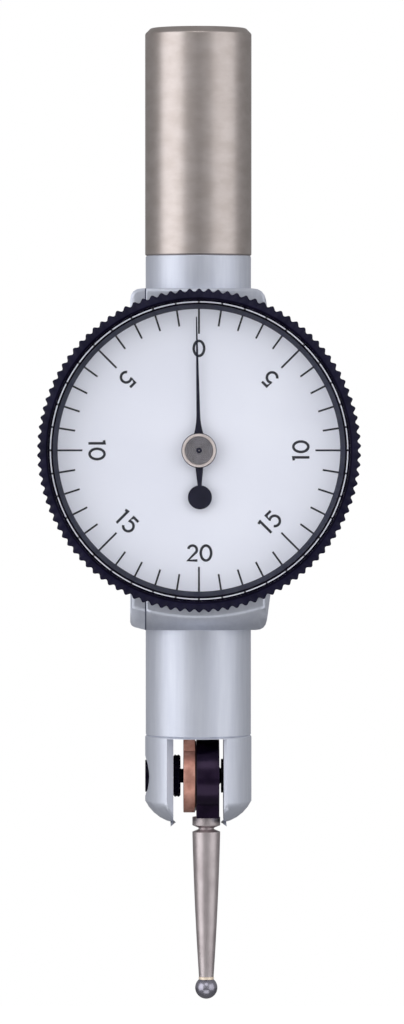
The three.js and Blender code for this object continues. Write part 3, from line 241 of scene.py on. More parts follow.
# Corner normals of a mesh with its modifiers; on faces of the tube about the stem's axis they are
# those of a true cylinder, which point straight out from the axis.
def tubeNormals(piece, tubeRadius):
    mesh = piece.evaluated_get(bpy.context.evaluated_depsgraph_get()).data
    corners, faces = len(mesh.loops), len(mesh.polygons)
    normals, places = np.empty(corners * 3), np.empty(len(mesh.vertices) * 3)
    vertexOf, sizes = np.empty(corners, int), np.empty(faces, int)
    centres, facing = np.empty(faces * 3), np.empty(faces * 3)
    mesh.corner_normals.foreach_get("vector", normals)
    mesh.vertices.foreach_get("co", places)
    mesh.loops.foreach_get("vertex_index", vertexOf)
    mesh.polygons.foreach_get("loop_total", sizes)
    mesh.polygons.foreach_get("center", centres)
    mesh.polygons.foreach_get("normal", facing)
    normals, places = normals.reshape(-1, 3), places.reshape(-1, 3)
    centres, facing = centres.reshape(-1, 3) * [1, 1, 0], facing.reshape(-1, 3)
    reach = np.linalg.norm(centres, axis=1)
    outward = (centres * facing).sum(axis=1) / np.maximum(reach, tiny)
    near = np.abs(reach / mm - tubeRadius) < cadLimits["tubeNear"]
    onTube = near & (outward > cadLimits["tubeFacing"])
    picked = np.repeat(onTube, sizes)
    radial = places[vertexOf] * [1, 1, 0]
    radial /= np.maximum(np.linalg.norm(radial, axis=1, keepdims=True), tiny)
    normals[picked] = radial[picked]
    return normals


# A CAD piece made smooth: its loose triangles are joined, its front face is moved back by the drop,
# flat faces are cleared of inner edges, and the edges that each rule picks get a round of that
# rule's width and finish.
def softenedPiece(name, node, body, finish, rounds=(), tubeRadius=None, frontDrop=0.0):
    mesh = frame["nodes"][node].data.copy()
    tool = bmesh.new()
    tool.from_mesh(mesh)
    bmesh.ops.remove_doubles(tool, verts=tool.verts, dist=cadLimits["join"] * mm)
    plane = min(vert.co.y for vert in tool.verts) + cadLimits["plane"] * mm
    for vert in [vert for vert in tool.verts if vert.co.y < plane]:
        vert.co.y += frontDrop * mm  # the normals from before the move say what is flat
    flat = math.radians(cadLimits["flatAngle"])
    bmesh.ops.dissolve_limit(tool, angle_limit=flat, verts=tool.verts, edges=tool.edges)
    for index, (width, picks, _) in enumerate(rounds):
        edges = [
            edge
            for edge in tool.edges
            if edge.is_manifold
            and edge.calc_face_angle(0) > math.radians(cadLimits["edgeAngle"])
            and picks(*[np.array(vert.co) / mm for vert in edge.verts])
        ]
        bmesh.ops.bevel(
            tool, geom=edges, offset=width * mm, offset_type="OFFSET",
            segments=cadLimits["rimSteps"], profile=cadLimits["rimProfile"], affect="EDGES",
            clamp_overlap=False, material=index + 1,
        )
    tool.to_mesh(mesh)
    tool.free()
    mesh.materials.clear()
    piece = placePiece(name, mesh, body, finish, [node])
    for _, _, roundFinish in rounds:
        piece.data.materials.append(finishes[roundFinish])
    if tubeRadius:
        normals = tubeNormals(piece, tubeRadius)
        piece.modifiers.remove(piece.modifiers["weightedNormals"])
        mesh.normals_split_custom_set(normals.tolist())
    return piece


# Finishes: a scale is one number or one for each axis, in noise cells per millimetre, and relief is
# in millimetres.

plainLook = {"shine": 0.5, "gleam": (1, 1, 1), "seam": False}
finishLook = {
    "nickel": {
        "slot": "nickel",
        "tones": ((0.51, 0.452, 0.43), (0.58, 0.522, 0.505)),
        "toneScale": (0.45, 0.45, 0.9),
        "metal": 1.0,
        "rough": (0.31, 0.41),
        "grainScale": (7, 7, 14),
        "relief": 0.002,
    },
    "satinSteel": {
        "slot": "satin_steel",
        "seam": True,
        "tones": ((0.62, 0.65, 0.75), (0.67, 0.70, 0.795)),
        "toneScale": (1.8, 1.8, 0.16),
        "metal": 0.75,
        "rough": (0.43, 0.51),
        "grainScale": (1.5, 1.5, 14),
        "relief": 0.002,
    },
    # A much lighter copy of the satin finish, used on the rounded front rims of the block's foot
    # and the cover: a painted highlight along those edges.
    "satinPaintedHighlight": {
        "slot": "satin_steel",
        "seam": True,
        "tones": ((0.90, 0.92, 0.97), (0.95, 0.96, 1.0)),
        "toneScale": 2,
        "metal": 0.8,
        "rough": (0.3, 0.4),
        "grainScale": 10,
        "relief": 0.001,
    },
    "steel": {
        "slot": "steel",
        "tones": ((0.505, 0.45, 0.462), (0.622, 0.562, 0.574)),
        "toneScale": (0.8, 0.8, 0.5),
        "metal": 1.0,
        "rough": (0.36, 0.48),
        "grainScale": (2, 2, 26),
        "relief": 0.002,
    },
    "blackSteel": {
        "slot": "black_steel",
        "tones": ((0.0015, 0.001, 0.006), (0.004, 0.003, 0.012)),
        "toneScale": 0.7,
        "metal": 0.0,
        "shine": 0.06,
        "rough": (0.17, 0.28),
        "grainScale": 9,
        "relief": 0.004,
    },
    "toothBlack": {
        "slot": "black_steel",
        "tones": ((0.0045, 0.004, 0.017), (0.009, 0.008, 0.026)),
        "toneScale": 0.7,
        "metal": 0.0,
        "shine": 0.12,
        "rough": (0.25, 0.38),
        "grainScale": 9,
        "relief": 0.004,
    },
    "holderBlack": {
        "slot": "black_steel",
        "tones": ((0.002, 0.001, 0.005), (0.007, 0.003, 0.013)),
        "toneScale": 0.5,
        "metal": 0.0,
        "shine": 0.45,
        "gleam": (0.75, 0.53, 0.95),
        "rough": (0.17, 0.27),
        "grainScale": (4, 20, 4),
        "relief": 0.002,
    },
    "bronze": {
        "slot": "bronze",
        "tones": ((0.47, 0.215, 0.165), (0.68, 0.36, 0.29)),
        "toneScale": 0.9,
        "metal": 0.65,
        "rough": (0.3, 0.46),
        "grainScale": (3, 3, 24),
        "relief": 0.006,
    },
    "brass": {
        "slot": "brass",
        "tones": ((0.62, 0.545, 0.53), (0.72, 0.64, 0.62)),
        "toneScale": 0.7,
        "metal": 0.4,
        "rough": (0.25, 0.4),
        "grainScale": 8,
        "relief": 0.002,
    },
    "hubGrey": {
        "slot": "steel",
        "tones": ((0.185, 0.175, 0.19), (0.245, 0.235, 0.255)),
        "toneScale": 1.2,
        "metal": 0.6,
        "rough": (0.45, 0.6),
        "grainScale": 12,
        "relief": 0.003,
    },
    "braze": {
        "slot": "brass",
        "tones": ((0.76, 0.64, 0.51), (0.86, 0.74, 0.60)),
        "toneScale": 2,
        "metal": 0.4,
        "rough": (0.3, 0.45),
        "grainScale": 10,
        "relief": 0.002,
    },
    "ruby": {
        "slot": "ruby",
        "tones": ((0.30, 0.006, 0.03), (0.42, 0.012, 0.05)),
        "toneScale": 1,
        "metal": 0.0,
        "rough": (0.05, 0.1),
        "grainScale": 3,
        "relief": 0.0,
    },
    "springSteel": {
        "slot": "spring_steel",
        "tones": ((0.10, 0.13, 0.24), (0.16, 0.2, 0.32)),
        "toneScale": 1,
        "metal": 1.0,
        "rough": (0.25, 0.35),
        "grainScale": 6,
        "relief": 0.001,
    },
    "dialWhite": {
        "slot": "dial_white",
        "tones": ((0.79, 0.81, 0.91), (0.83, 0.85, 0.945)),
        "toneScale": 0.12,
        "metal": 0.0,
        "rough": (0.42, 0.55),
        "grainScale": 18,
        "relief": 0.0015,
    },
    "printBlack": {
        "slot": "pointer_black",
        "tones": ((0.010, 0.011, 0.020), (0.018, 0.019, 0.032)),
        "toneScale": 1,
        "metal": 0.0,
        "rough": (0.5, 0.65),
        "grainScale": 15,
        "relief": 0.001,
    },
    "pointerBlack": {
        "slot": "pointer_black",
        "tones": ((0.005, 0.005, 0.018), (0.009, 0.009, 0.026)),
        "toneScale": 1,
        "metal": 0.0,
        "shine": 0.15,
        "rough": (0.45, 0.6),
        "grainScale": 12,
        "relief": 0.002,
    },
    "slate": {
        "slot": "black_steel",
        "tones": ((0.011, 0.013, 0.034), (0.019, 0.022, 0.047)),
        "toneScale": 0.5,
        "metal": 0.0,
        "shine": 0.2,
        "rough": (0.4, 0.55),
        "grainScale": 9,
        "relief": 0.003,
    },
    "clutchDark": {
        "slot": "spring_steel",
        "tones": ((0.020, 0.009, 0.008), (0.045, 0.020, 0.016)),
        "toneScale": 0.8,
        "metal": 0.3,
        "rough": (0.4, 0.55),
        "grainScale": (14, 3, 3),
        "relief": 0.002,
    },
    "carbide": {
        "slot": "carbide",
        "tones": ((0.35, 0.34, 0.41), (0.43, 0.42, 0.49)),
        "toneScale": 1,
        "metal": 1.0,
        "rough": (0.22, 0.3),
        "grainScale": 6,
        "relief": 0.0005,
    },
}
recordSlot = {name: look["slot"] for name, look in finishLook.items()}
finishes = {}


noiseLook = {
    "roughness": 0.55,
    "toneDetail": 3,
    "grainDetail": 4,
    "toneRange": (0.36, 0.64),
    "grainRange": (0.3, 0.7),
}


def newMaterial(name):
    material = bpy.data.materials.new(name)
    material.use_nodes = True
    tree = material.node_tree
    return material, tree, tree.nodes["Principled BSDF"]


# A socket takes a plain value or another node's output.
def feed(tree, socket, value):
    if isinstance(value, bpy.types.NodeSocket):
        tree.links.new(value, socket)
    else:
        socket.default_value = value


def mathNode(tree, operation, *values):
    node = tree.nodes.new("ShaderNodeMath")
    node.operation = operation
    for socket, value in zip(node.inputs, values):
        feed(tree, socket, value)
    return node.outputs["Value"]


def rangeNode(tree, value, source, target, interpolation="LINEAR"):
    node = tree.nodes.new("ShaderNodeMapRange")
    node.interpolation_type = interpolation
    feed(tree, node.inputs["Value"], value)
    for side, ends in (("From", source), ("To", target)):
        feed(tree, node.inputs[f"{side} Min"], ends[0])
        feed(tree, node.inputs[f"{side} Max"], ends[1])
    return node.outputs["Result"]


def splitNode(tree, kind):
    coords = tree.nodes.new("ShaderNodeTexCoord")
    split = tree.nodes.new("ShaderNodeSeparateXYZ")
    tree.links.new(coords.outputs[kind], split.inputs["Vector"])
    return split.outputs


def mixShaders(tree, factor, first, second):
    node = tree.nodes.new("ShaderNodeMixShader")
    for socket, value in zip(node.inputs, (factor, first, second)):
        feed(tree, socket, value)
    return node.outputs["Shader"]


def noiseOn(tree, coords, scale, detail):
    place = tree.nodes.new("ShaderNodeMapping")
    place.inputs["Scale"].default_value = (np.broadcast_to(scale, 3) / mm).tolist()
    tree.links.new(coords.outputs["Object"], place.inputs["Vector"])
    noise = tree.nodes.new("ShaderNodeTexNoise")
    noise.inputs["Scale"].default_value = 1
    noise.inputs["Detail"].default_value = detail
    noise.inputs["Roughness"].default_value = noiseLook["roughness"]
    tree.links.new(place.outputs["Vector"], noise.inputs["Vector"])
    return noise.outputs["Fac"]


seamLook = {"width": 0.12, "tone": (0.11, 0.12, 0.19, 1)}


# The joint between block and cover is a dark line over the block's height.
def drawSeam(tree, tones):
    place = splitNode(tree, "Object")
    middle = (blockLow[2] + blockHigh[2]) / 2
    half = (blockHigh[2] - blockLow[2]) / 2
    onWidth = mathNode(tree, "COMPARE", place["X"], blockHigh[0] * mm, seamLook["width"] / 2 * mm)
    onHeight = mathNode(tree, "COMPARE", place["Z"], middle * mm, half * mm)
    mix = tree.nodes.new("ShaderNodeMix")
    mix.data_type = "RGBA"
    feed(tree, mix.inputs["Factor"], mathNode(tree, "MULTIPLY", onWidth, onHeight))
    tree.links.new(tones, mix.inputs["A"])
    mix.inputs["B"].default_value = seamLook["tone"]
    return mix.outputs["Result"]


# Every finish: tone drifts slowly between two colours, and a finer grain moves gloss and relief.
def makeFinish(name, look):
    material, tree, shader = newMaterial(name)
    shader.inputs["Metallic"].default_value = look["metal"]
    shader.inputs["Specular IOR Level"].default_value = look["shine"]
    shader.inputs["Specular Tint"].default_value = (*look["gleam"], 1)
    coords = tree.nodes.new("ShaderNodeTexCoord")
    ramp = tree.nodes.new("ShaderNodeValToRGB")
    stops = ramp.color_ramp.elements
    for element, position, tone in zip(stops, noiseLook["toneRange"], look["tones"]):
        element.position = position
        element.color = (*tone, 1)
    drift = noiseOn(tree, coords, look["toneScale"], noiseLook["toneDetail"])
    tree.links.new(drift, ramp.inputs["Fac"])
    tones = ramp.outputs["Color"]
    colour = drawSeam(tree, tones) if look["seam"] else tones
    tree.links.new(colour, shader.inputs["Base Color"])
    grain = noiseOn(tree, coords, look["grainScale"], noiseLook["grainDetail"])
    gloss = rangeNode(tree, grain, noiseLook["grainRange"], look["rough"])
    tree.links.new(gloss, shader.inputs["Roughness"])
    if look["relief"]:
        bump = tree.nodes.new("ShaderNodeBump")
        bump.inputs["Strength"].default_value = 1
        bump.inputs["Distance"].default_value = look["relief"] * mm
        tree.links.new(grain, bump.inputs["Height"])
        tree.links.new(bump.outputs["Normal"], shader.inputs["Normal"])
    return material


for finishName, finishValues in finishLook.items():
    finishes[finishName] = makeFinish(finishName, {**plainLook, **finishValues})

crystalLook = {"ior": 1.49, "tint": (0.985, 0.99, 1.0, 1)}


# Clear plastic: light on its way between a lamp and the dial isn't bent or blocked.
def makeClear():
    material, tree, shader = newMaterial("clear")
    shader.inputs["Base Color"].default_value = crystalLook["tint"]
    shader.inputs["Roughness"].default_value = 0.0
    shader.inputs["IOR"].default_value = crystalLook["ior"]
    shader.inputs["Transmission Weight"].default_value = 1
    clear = tree.nodes.new("ShaderNodeBsdfTransparent")
    ray = tree.nodes.new("ShaderNodeLightPath").outputs
    soft = mathNode(tree, "MAXIMUM", ray["Is Shadow Ray"], ray["Is Diffuse Ray"])
    mixed = mixShaders(tree, soft, shader.outputs["BSDF"], clear.outputs["BSDF"])
    tree.links.new(mixed, tree.nodes["Material Output"].inputs["Surface"])
    return material


finishes["clear"] = makeClear()
recordSlot["clear"] = "clear"
slotFinish = {
    "nickel": "nickel",
    "satin_steel": "satinSteel",
    "steel": "steel",
    "black_steel": "blackSteel",
    "bronze": "bronze",
    "brass": "brass",
    "ruby": "ruby",
    "spring_steel": "springSteel",
    "dial_white": "dialWhite",
    "pointer_black": "pointerBlack",
    "clear": "clear",
    "carbide": "carbide",
}
for part in frame["record"]["subparts"]:
    node = frame["nodes"][part["node"]]
    node.data.materials.clear()
    node.data.materials.append(finishes[slotFinish[part["material_slot"]]])
frame["nodes"]["clutch_washer"].data.materials[0] = finishes["clutchDark"]
print("finishes made")

# Stem

stemShape = {
    "bevel": 0.5,
    "edge": 0.12,
    "spigot": 0.9,
    "jointBevel": 0.1,
    "jointEdge": 0.04,
    "edgeSteps": 6,
    "steps": 160,
}


def makeStem():
    radius = (stemHigh[0] - stemLow[0]) / 2
    top, low = stemHigh[2], stemLow[2]
    joint = boxOf("housing")[1][2]
    spigot = radius - stemShape["spigot"]
    bevel, jointBevel = stemShape["bevel"], stemShape["jointBevel"]
    corners = [
        (0, low),
        (spigot, low),
        (spigot, joint),
        (radius - jointBevel, joint),
        (radius, joint + jointBevel),
        (radius, top - bevel),
        (radius - bevel, top),
        (0, top),
    ]
    edge, jointEdge = stemShape["edge"], stemShape["jointEdge"]
    radii = [0, jointBevel, 0, jointEdge, jointEdge, edge, edge, 0]
    profile = roundedLine(corners, radii, stemShape["edgeSteps"])
    points, faces = turnedMesh(profile, stemShape["steps"])
    finishPiece("stemGround", upright(points), faces, "body", "nickel", ["stem"])


makeStem()

edgeLook = {
    "front": 0.21,
    "coverDrop": 0.1,  # the cover's front face lies this much behind the block's
    "near": 0.02,
    "clear": 12.75,  # edges nearer the dial's axis belong to holes behind the bezel
    "mouth": 0.25,
    "mouthReach": 2.6,
    "mouthDrop": 4.0,
    "mouthLevel": 0.01,  # how far an edge's ends may differ across the fork
}


# Each rule is given the ends of an edge. This one: the rim of a flat front face of the block or
# the cover, outside the bezel's holes.
def onFront(a, b):
    reach = min(math.hypot(point[0], point[2] - dialZ) for point in (a, b))
    front = blockLow[1] + edgeLook["coverDrop"] + edgeLook["near"]
    return max(a[1], b[1]) < front and reach > edgeLook["clear"]


# Of that rim, the part below the dial's middle.
def onHousingFoot(a, b):
    return onFront(a, b) and min(a[2], b[2]) < dialZ


# The same on the cover, without its edge along the seam.
def onCoverFoot(a, b):
    return onHousingFoot(a, b) and min(a[0], b[0]) < blockHigh[0] - edgeLook["near"]


# The lower inner corners of the fork's two prongs.
def onMouth(a, b):
    inner = max(abs(a[0]), abs(b[0])) < edgeLook["mouthReach"]
    low = max(a[2], b[2]) < pivotZ - edgeLook["mouthDrop"]
    return inner and low and abs(a[0] - b[0]) < edgeLook["mouthLevel"]


# The foot's front rims take the lighter satin copy: a painted highlight on the rounds.
housingRounds = [(edgeLook["front"], onHousingFoot, "satinPaintedHighlight")]
coverRounds = [(edgeLook["front"], onCoverFoot, "satinPaintedHighlight")]
forkRounds = [(edgeLook["mouth"], onMouth, "satinSteel")]
housingTube, forkTube = -blockHigh[0], (forkHigh[0] - forkLow[0]) / 2
softenedPiece("housingSatin", "housing", "body", "satinSteel", housingRounds, housingTube)
softenedPiece(
    "sideCoverSatin", "side_cover", "body", "satinSteel", coverRounds,
    frontDrop=edgeLook["coverDrop"],
)
softenedPiece("forkHeadSatin", "fork_head", "body", "satinSteel", forkRounds, forkTube)
print("stem and housing made")

# Bezel

bezelShape = {
    "teeth": 106,
    "toothSteps": 12,
    "toothDepth": 0.28,
    "toothEase": 0.04,  # the rounded tips stay this far inside the CAD's square ones
    "frontDraw": 0.45,
    "frontDrop": 0.15,
    "rearBevel": 0.25,
    "mouthBevel": 0.1,
    "crystalFit": 0.05,
    "crystalSeat": 0.35,
    "rehaut": 0.4,  # the sloping wall round the dial widens by this much
    "dialLap": 0.23,
    "grooveDepth": 0.35,
    "grooveLow": 0.4,
    "grooveHigh": 0.9,
    "rounds": (0.05, 0.03, 0.02, 0.02, 0, 0, 0.03, 0, 0, 0.03, 0.05, 0.05, 0.08, 0.08, 0.06),
    "edgeSteps": 4,
    "slopeShare": 0.8,  # a side that spans more than this much of the rehaut is the rehaut
    "smooth": 40,
}


# The section is a closed line in radius and height. Its outer side moves in and out with the
# teeth, as half the depth times one plus the cosine of the turn times the number of teeth.
def makeBezel():
    s = bezelShape
    rear, front = 0.0, bezelHigh[1] - bezelLow[1]
    root = (bezelHigh[0] - bezelLow[0]) / 2 - s["toothEase"] - s["toothDepth"]
    dialFront = bezelHigh[1] - dialLow[1]
    crystalRear = bezelHigh[1] - crystalHigh[1]
    crystal = (crystalHigh[0] - crystalLow[0]) / 2
    wall = crystal - s["crystalSeat"]
    opening = wall - s["rehaut"]
    recess, skirt = crystal + s["crystalFit"], opening + s["dialLap"]
    groove = skirt + s["grooveDepth"]
    section = [  # radius, height, moves with the teeth
        (recess + s["mouthBevel"], front, 0),
        (recess, front - s["mouthBevel"], 0),
        (recess, crystalRear, 0),
        (wall, crystalRear, 0),
        (opening, dialFront, 0),
        (skirt, dialFront, 0),
        (skirt, s["grooveHigh"], 0),
        (groove, s["grooveHigh"], 0),
        (groove, s["grooveLow"], 0),
        (skirt, s["grooveLow"], 0),
        (skirt, rear, 0),
        (root - s["rearBevel"], rear, 0),
        (root, rear + s["rearBevel"], 1),
        (root, front - s["frontDrop"], 1),
        (root - s["frontDraw"], front, 0),
    ]
    line = roundedLine(section, s["rounds"], s["edgeSteps"], closed=True)
    columns = s["teeth"] * s["toothSteps"]
    turn = np.arange(columns) / columns * turnFull
    lift = s["toothDepth"] * (1 + np.cos(turn * s["teeth"])) / 2
    radius = line[:, :1] + line[:, 2:] * lift
    angle = turn + math.pi / 2
    points = np.stack(
        [radius * np.cos(angle), radius * np.sin(angle), np.repeat(line[:, 1:2], columns, axis=1)],
        axis=-1,
    ).reshape(-1, 3)
    faces = gridFaces(len(line), columns, True)
    bezel = finishPiece(
        "bezelKnurled", onDial(points, bezelHigh[1]), faces, "bezel_assembly", "blackSteel",
        ["bezel"], s["smooth"],
    )
    bezel.data.materials.append(finishes["slate"])
    bezel.data.materials.append(finishes["toothBlack"])
    after = np.roll(line, -1, axis=0)
    spans = np.abs(after - line)
    wide = spans[:, 0] > s["rehaut"] * s["slopeShare"]
    slate = wide & (spans[:, 1] > (crystalRear - dialFront) * s["slopeShare"])
    teeth = line[:, 2] + after[:, 2] > 0
    bezel.data.polygons.foreach_set("material_index", np.repeat(slate + 2 * teeth, columns))


makeBezel()

crystalShape = {"edge": 0.2, "steps": 240, "smooth": 20}


def makeCrystal():
    radius = (crystalHigh[0] - crystalLow[0]) / 2
    thick = crystalHigh[1] - crystalLow[1]
    edge = crystalShape["edge"]
    profile = [(0, 0), (radius, 0), (radius, thick - edge), (radius - edge, thick), (0, thick)]
    points, faces = turnedMesh(profile, crystalShape["steps"])
    finishPiece(
        "crystalClear", onDial(points, crystalHigh[1]), faces, "bezel_assembly", "clear",
        ["crystal"], crystalShape["smooth"],
    )


makeCrystal()
print("bezel made")

# Dial

dialShape = {"radius": 12.7, "hole": 0.8, "steps": 240, "smooth": 20}


def makeDial():
    thick = dialHigh[1] - dialLow[1]
    inner, outer = dialShape["hole"], dialShape["radius"]
    profile = [(inner, 0), (outer, 0), (outer, thick), (inner, thick)]
    points, faces = turnedMesh(profile, dialShape["steps"])
    finishPiece(
        "dialFace", onDial(points, dialHigh[1]), faces, "bezel_assembly", "dialWhite",
        ["dial_plate"], dialShape["smooth"],
    )


makeDial()

tickLook = {
    "count": 40,
    "longEvery": 5,
    "outer": 12.5,
    "shortInner": 11.07,
    "longInner": 10.29,
    "width": 0.165,
    "lift": 0.012,
}


# The sides of a box of eight corners, four below and four above.
boxFaces = np.array(
    [[0, 1, 2, 3], [7, 6, 5, 4], [0, 4, 5, 1], [1, 5, 6, 2], [2, 6, 7, 3], [3, 7, 4, 0]]
)


# A bar for each mark. Its corners lie at the inner and the outer reach along the mark's radius,
# and half the width to either side of it.
def makeTicks():
    t = tickLook
    order = np.arange(t["count"])
    turn = order / t["count"] * turnFull
    inner = np.where(order % t["longEvery"], t["shortInner"], t["longInner"])[:, None]
    reach = np.where([True, True, False, False], inner, t["outer"])[..., None]
    side = np.array([-1, 1, 1, -1])[:, None] * t["width"] / 2
    along = np.stack([np.sin(turn), np.cos(turn)], axis=1)[:, None]
    across = np.stack([np.cos(turn), -np.sin(turn)], axis=1)[:, None]
    flat = along * reach + across * side
    level = np.full((t["count"], 4, 1), t["lift"])
    low, high = np.concatenate([flat, -level], axis=2), np.concatenate([flat, level], axis=2)
    points = np.concatenate([low, high], axis=1).reshape(-1, 3)
    faces = (boxFaces + 8 * order[:, None, None]).reshape(-1, 4).tolist()
    finishPiece("dialMarks", onDial(points, dialLow[1]), faces, "bezel_assembly", "printBlack")


makeTicks()

figureLook = {
    "height": 1.55,
    "stroke": 0.23,
    "lift": 0.012,
    "steps": 40,
    "mitreFloor": 0.5,
    "turns": {"0": [0], "5": [45, -45], "10": [90, -90], "15": [135, -135], "20": [180]},
    "radius": {"0": 9.0, "5": 8.89, "10": 9.0, "15": 8.92, "20": 9.07},
    "places": {
        "0": [("0", 0.0)],
        "5": [("5", 0.0)],
        "10": [("1", -0.62), ("0", 0.32)],
        "15": [("1", -0.62), ("5", 0.34)],
        "20": [("2", -0.57), ("0", 0.62)],
    },
    "zeroHalf": 0.46,
    "oneFlag": (-0.27, -0.05),  # from the figure's top
    "oneFoot": 0.1,
    "fiveTop": (0.36, -0.24),
    "fiveNeck": (-0.31, 0.13),
    "fiveBowl": ((-0.02, -0.22), 0.46, 128, -146),
    "twoRadius": 0.38,
    "twoArc": (168, -32),
    "twoFoot": (-0.4, 0.44),
}


# The middle lines of each figure's strokes, as open or closed lines about its own centre.
def figureLines(character):
    f = figureLook
    h = (f["height"] - f["stroke"]) / 2
    if character == "0":
        turn = np.linspace(0, turnFull, f["steps"] + 1)[:-1]
        return [(np.column_stack([f["zeroHalf"] * np.cos(turn), h * np.sin(turn)]), True)]
    if character == "1":
        flag = (f["oneFlag"][0], h + f["oneFlag"][1])
        return [(np.array([flag, (0.0, h), (0.0, -h - f["oneFoot"])]), False)]
    if character == "5":
        bowl = arcPoints(*f["fiveBowl"], f["steps"])
        right, left = f["fiveTop"]
        return [(np.concatenate([[(right, h), (left, h), f["fiveNeck"]], bowl]), False)]
    top = arcPoints((0.0, h - f["twoRadius"]), f["twoRadius"], *f["twoArc"], f["steps"])
    left, right = f["twoFoot"]
    return [(np.concatenate([top, [(left, -h), (right, -h)]]), False)]


# A stroke of even width along a line: each point steps half the width to either side.
def strokeMesh(line, closed, width, lift):
    before = line - np.roll(line, 1, axis=0)
    after = np.roll(line, -1, axis=0) - line
    if not closed:
        before[0] = after[0]
        after[-1] = before[-1]
    before = before / np.linalg.norm(before, axis=1, keepdims=True)
    after = after / np.linalg.norm(after, axis=1, keepdims=True)
    a = np.stack([-before[:, 1], before[:, 0]], axis=1)
    b = np.stack([-after[:, 1], after[:, 0]], axis=1)
    spread = np.maximum(1 + (a * b).sum(axis=1, keepdims=True), figureLook["mitreFloor"])
    side = (a + b) / spread * width / 2
    rows = [(side, -lift), (-side, -lift), (-side, lift), (side, lift)]
    points = np.stack(
        [np.column_stack([line + move, np.full(len(line), height)]) for move, height in rows],
        axis=1,
    ).reshape(-1, 3)
    faces = gridFaces(len(line), 4, closed)
    if not closed:
        last = (len(line) - 1) * 4
        faces += [[3, 2, 1, 0], [last, last + 1, last + 2, last + 3]]
    return points, faces


# Every figure's top points to the dial's centre.
def makeFigures():
    f = figureLook
    allPoints, allFaces, count = [], [], 0
    for text, degrees in [(text, turn) for text in f["turns"] for turn in f["turns"][text]]:
        turn = math.radians(degrees)
        along = np.array([math.sin(turn), math.cos(turn)])
        up = -along
        right = np.array([up[1], -up[0]])
        for character, shift in f["places"][text]:
            for line, closed in figureLines(character):
                flat = line + [shift, 0]
                placed = along * f["radius"][text] + flat[:, :1] * right + flat[:, 1:] * up
                points, faces = strokeMesh(placed, closed, f["stroke"], f["lift"])
                allPoints.append(points)
                allFaces += [[v + count for v in face] for face in faces]
                count += len(points)
    finishPiece(
        "dialFigures", onDial(np.concatenate(allPoints), dialLow[1]), allFaces, "bezel_assembly",
        "printBlack",
    )


makeFigures()
print("dial made")

# Pointer

pointerShape = {
    "turn": 1.1,
    "tip": 11.8,
    "tipWidth": 0.1,
    "waistWidth": 0.33,
    "waist": 3.3,
    "rootWidth": 0.88,
    "root": 1.4,
    "flare": 0.53,  # how far up the flare its curve stays near the blade's width
    "flareSteps": 9,
    "shoulder": 0.6,
    "tailWidth": 0.68,
    "tailTop": 1.53,
    "tailNeck": 0.36,
    "weight": 1.06,
    "weightReach": 4.14,
    "weightSteps": 56,
    "edge": 0.02,
}


def makePointer():
    p = pointerShape
    neck = p["tailNeck"] / 2
    opening = math.degrees(math.asin(neck / p["weight"]))
    low, high = 90 + opening, 450 - opening
    weight = arcPoints((0, -p["weightReach"]), p["weight"], low, high, p["weightSteps"])
    t = np.linspace(0, 1, p["flareSteps"])[:, None]
    blade, rootHalf = p["waistWidth"] / 2, p["rootWidth"] / 2
    bendAt = p["root"] + (p["waist"] - p["root"]) * (1 - p["flare"])
    waist, bend = np.array([-blade, p["waist"]]), np.array([-blade, bendAt])
    root = np.array([-rootHalf, p["root"]])
    flare = (1 - t) ** 2 * waist + 2 * t * (1 - t) * bend + t * t * root
    tail = [(-rootHalf, -p["shoulder"]), (-p["tailWidth"] / 2, -p["tailTop"])]
    left = np.concatenate([[(-p["tipWidth"] / 2, p["tip"])], flare, tail])
    outline = np.concatenate([left, weight, left[::-1] * [-1, 1]])
    turn = math.radians(p["turn"])
    spin = np.array([[math.cos(turn), math.sin(turn)], [-math.sin(turn), math.cos(turn)]])
    points, faces = plateMesh(outline @ spin, 0, pointerHigh[1] - pointerLow[1], p["edge"])
    finishPiece(
        "pointerBlade", onDial(points, pointerHigh[1]), faces, "pointer_assembly", "pointerBlack",
        ["pointer"],
    )


makePointer()

hubShape = {
    "shadeRing": 1.55,  # a black ring round the brass: painted shade, the thin dark outline at the hub's edge
    "shadeRingDrop": 0.14,
    "rim": 1.49,
    "dish": 1.26,
    "dishDepth": 0.12,
    "flange": 0.45,
    "sleeve": 0.6,
    "bore": 0.24,
    "pit": 0.27,
    "eye": 0.05,
    "rings": 6,
    "ringRise": 0.02,
    "ringSteps": 8,
    "ringDrop": 0.045,  # of the rings' middle height under the rim
    "ringMargin": 0.06,
    "faceDrop": 0.08,
    "faceGap": 0.03,
    "pitDrop": 0.055,
    "gap": 0.01,
    "rounds": (0, 0.05, 0.05, 0.08, 0.12, 0.1, 0.02, 0),
    "edgeSteps": 6,
    "steps": 96,
}


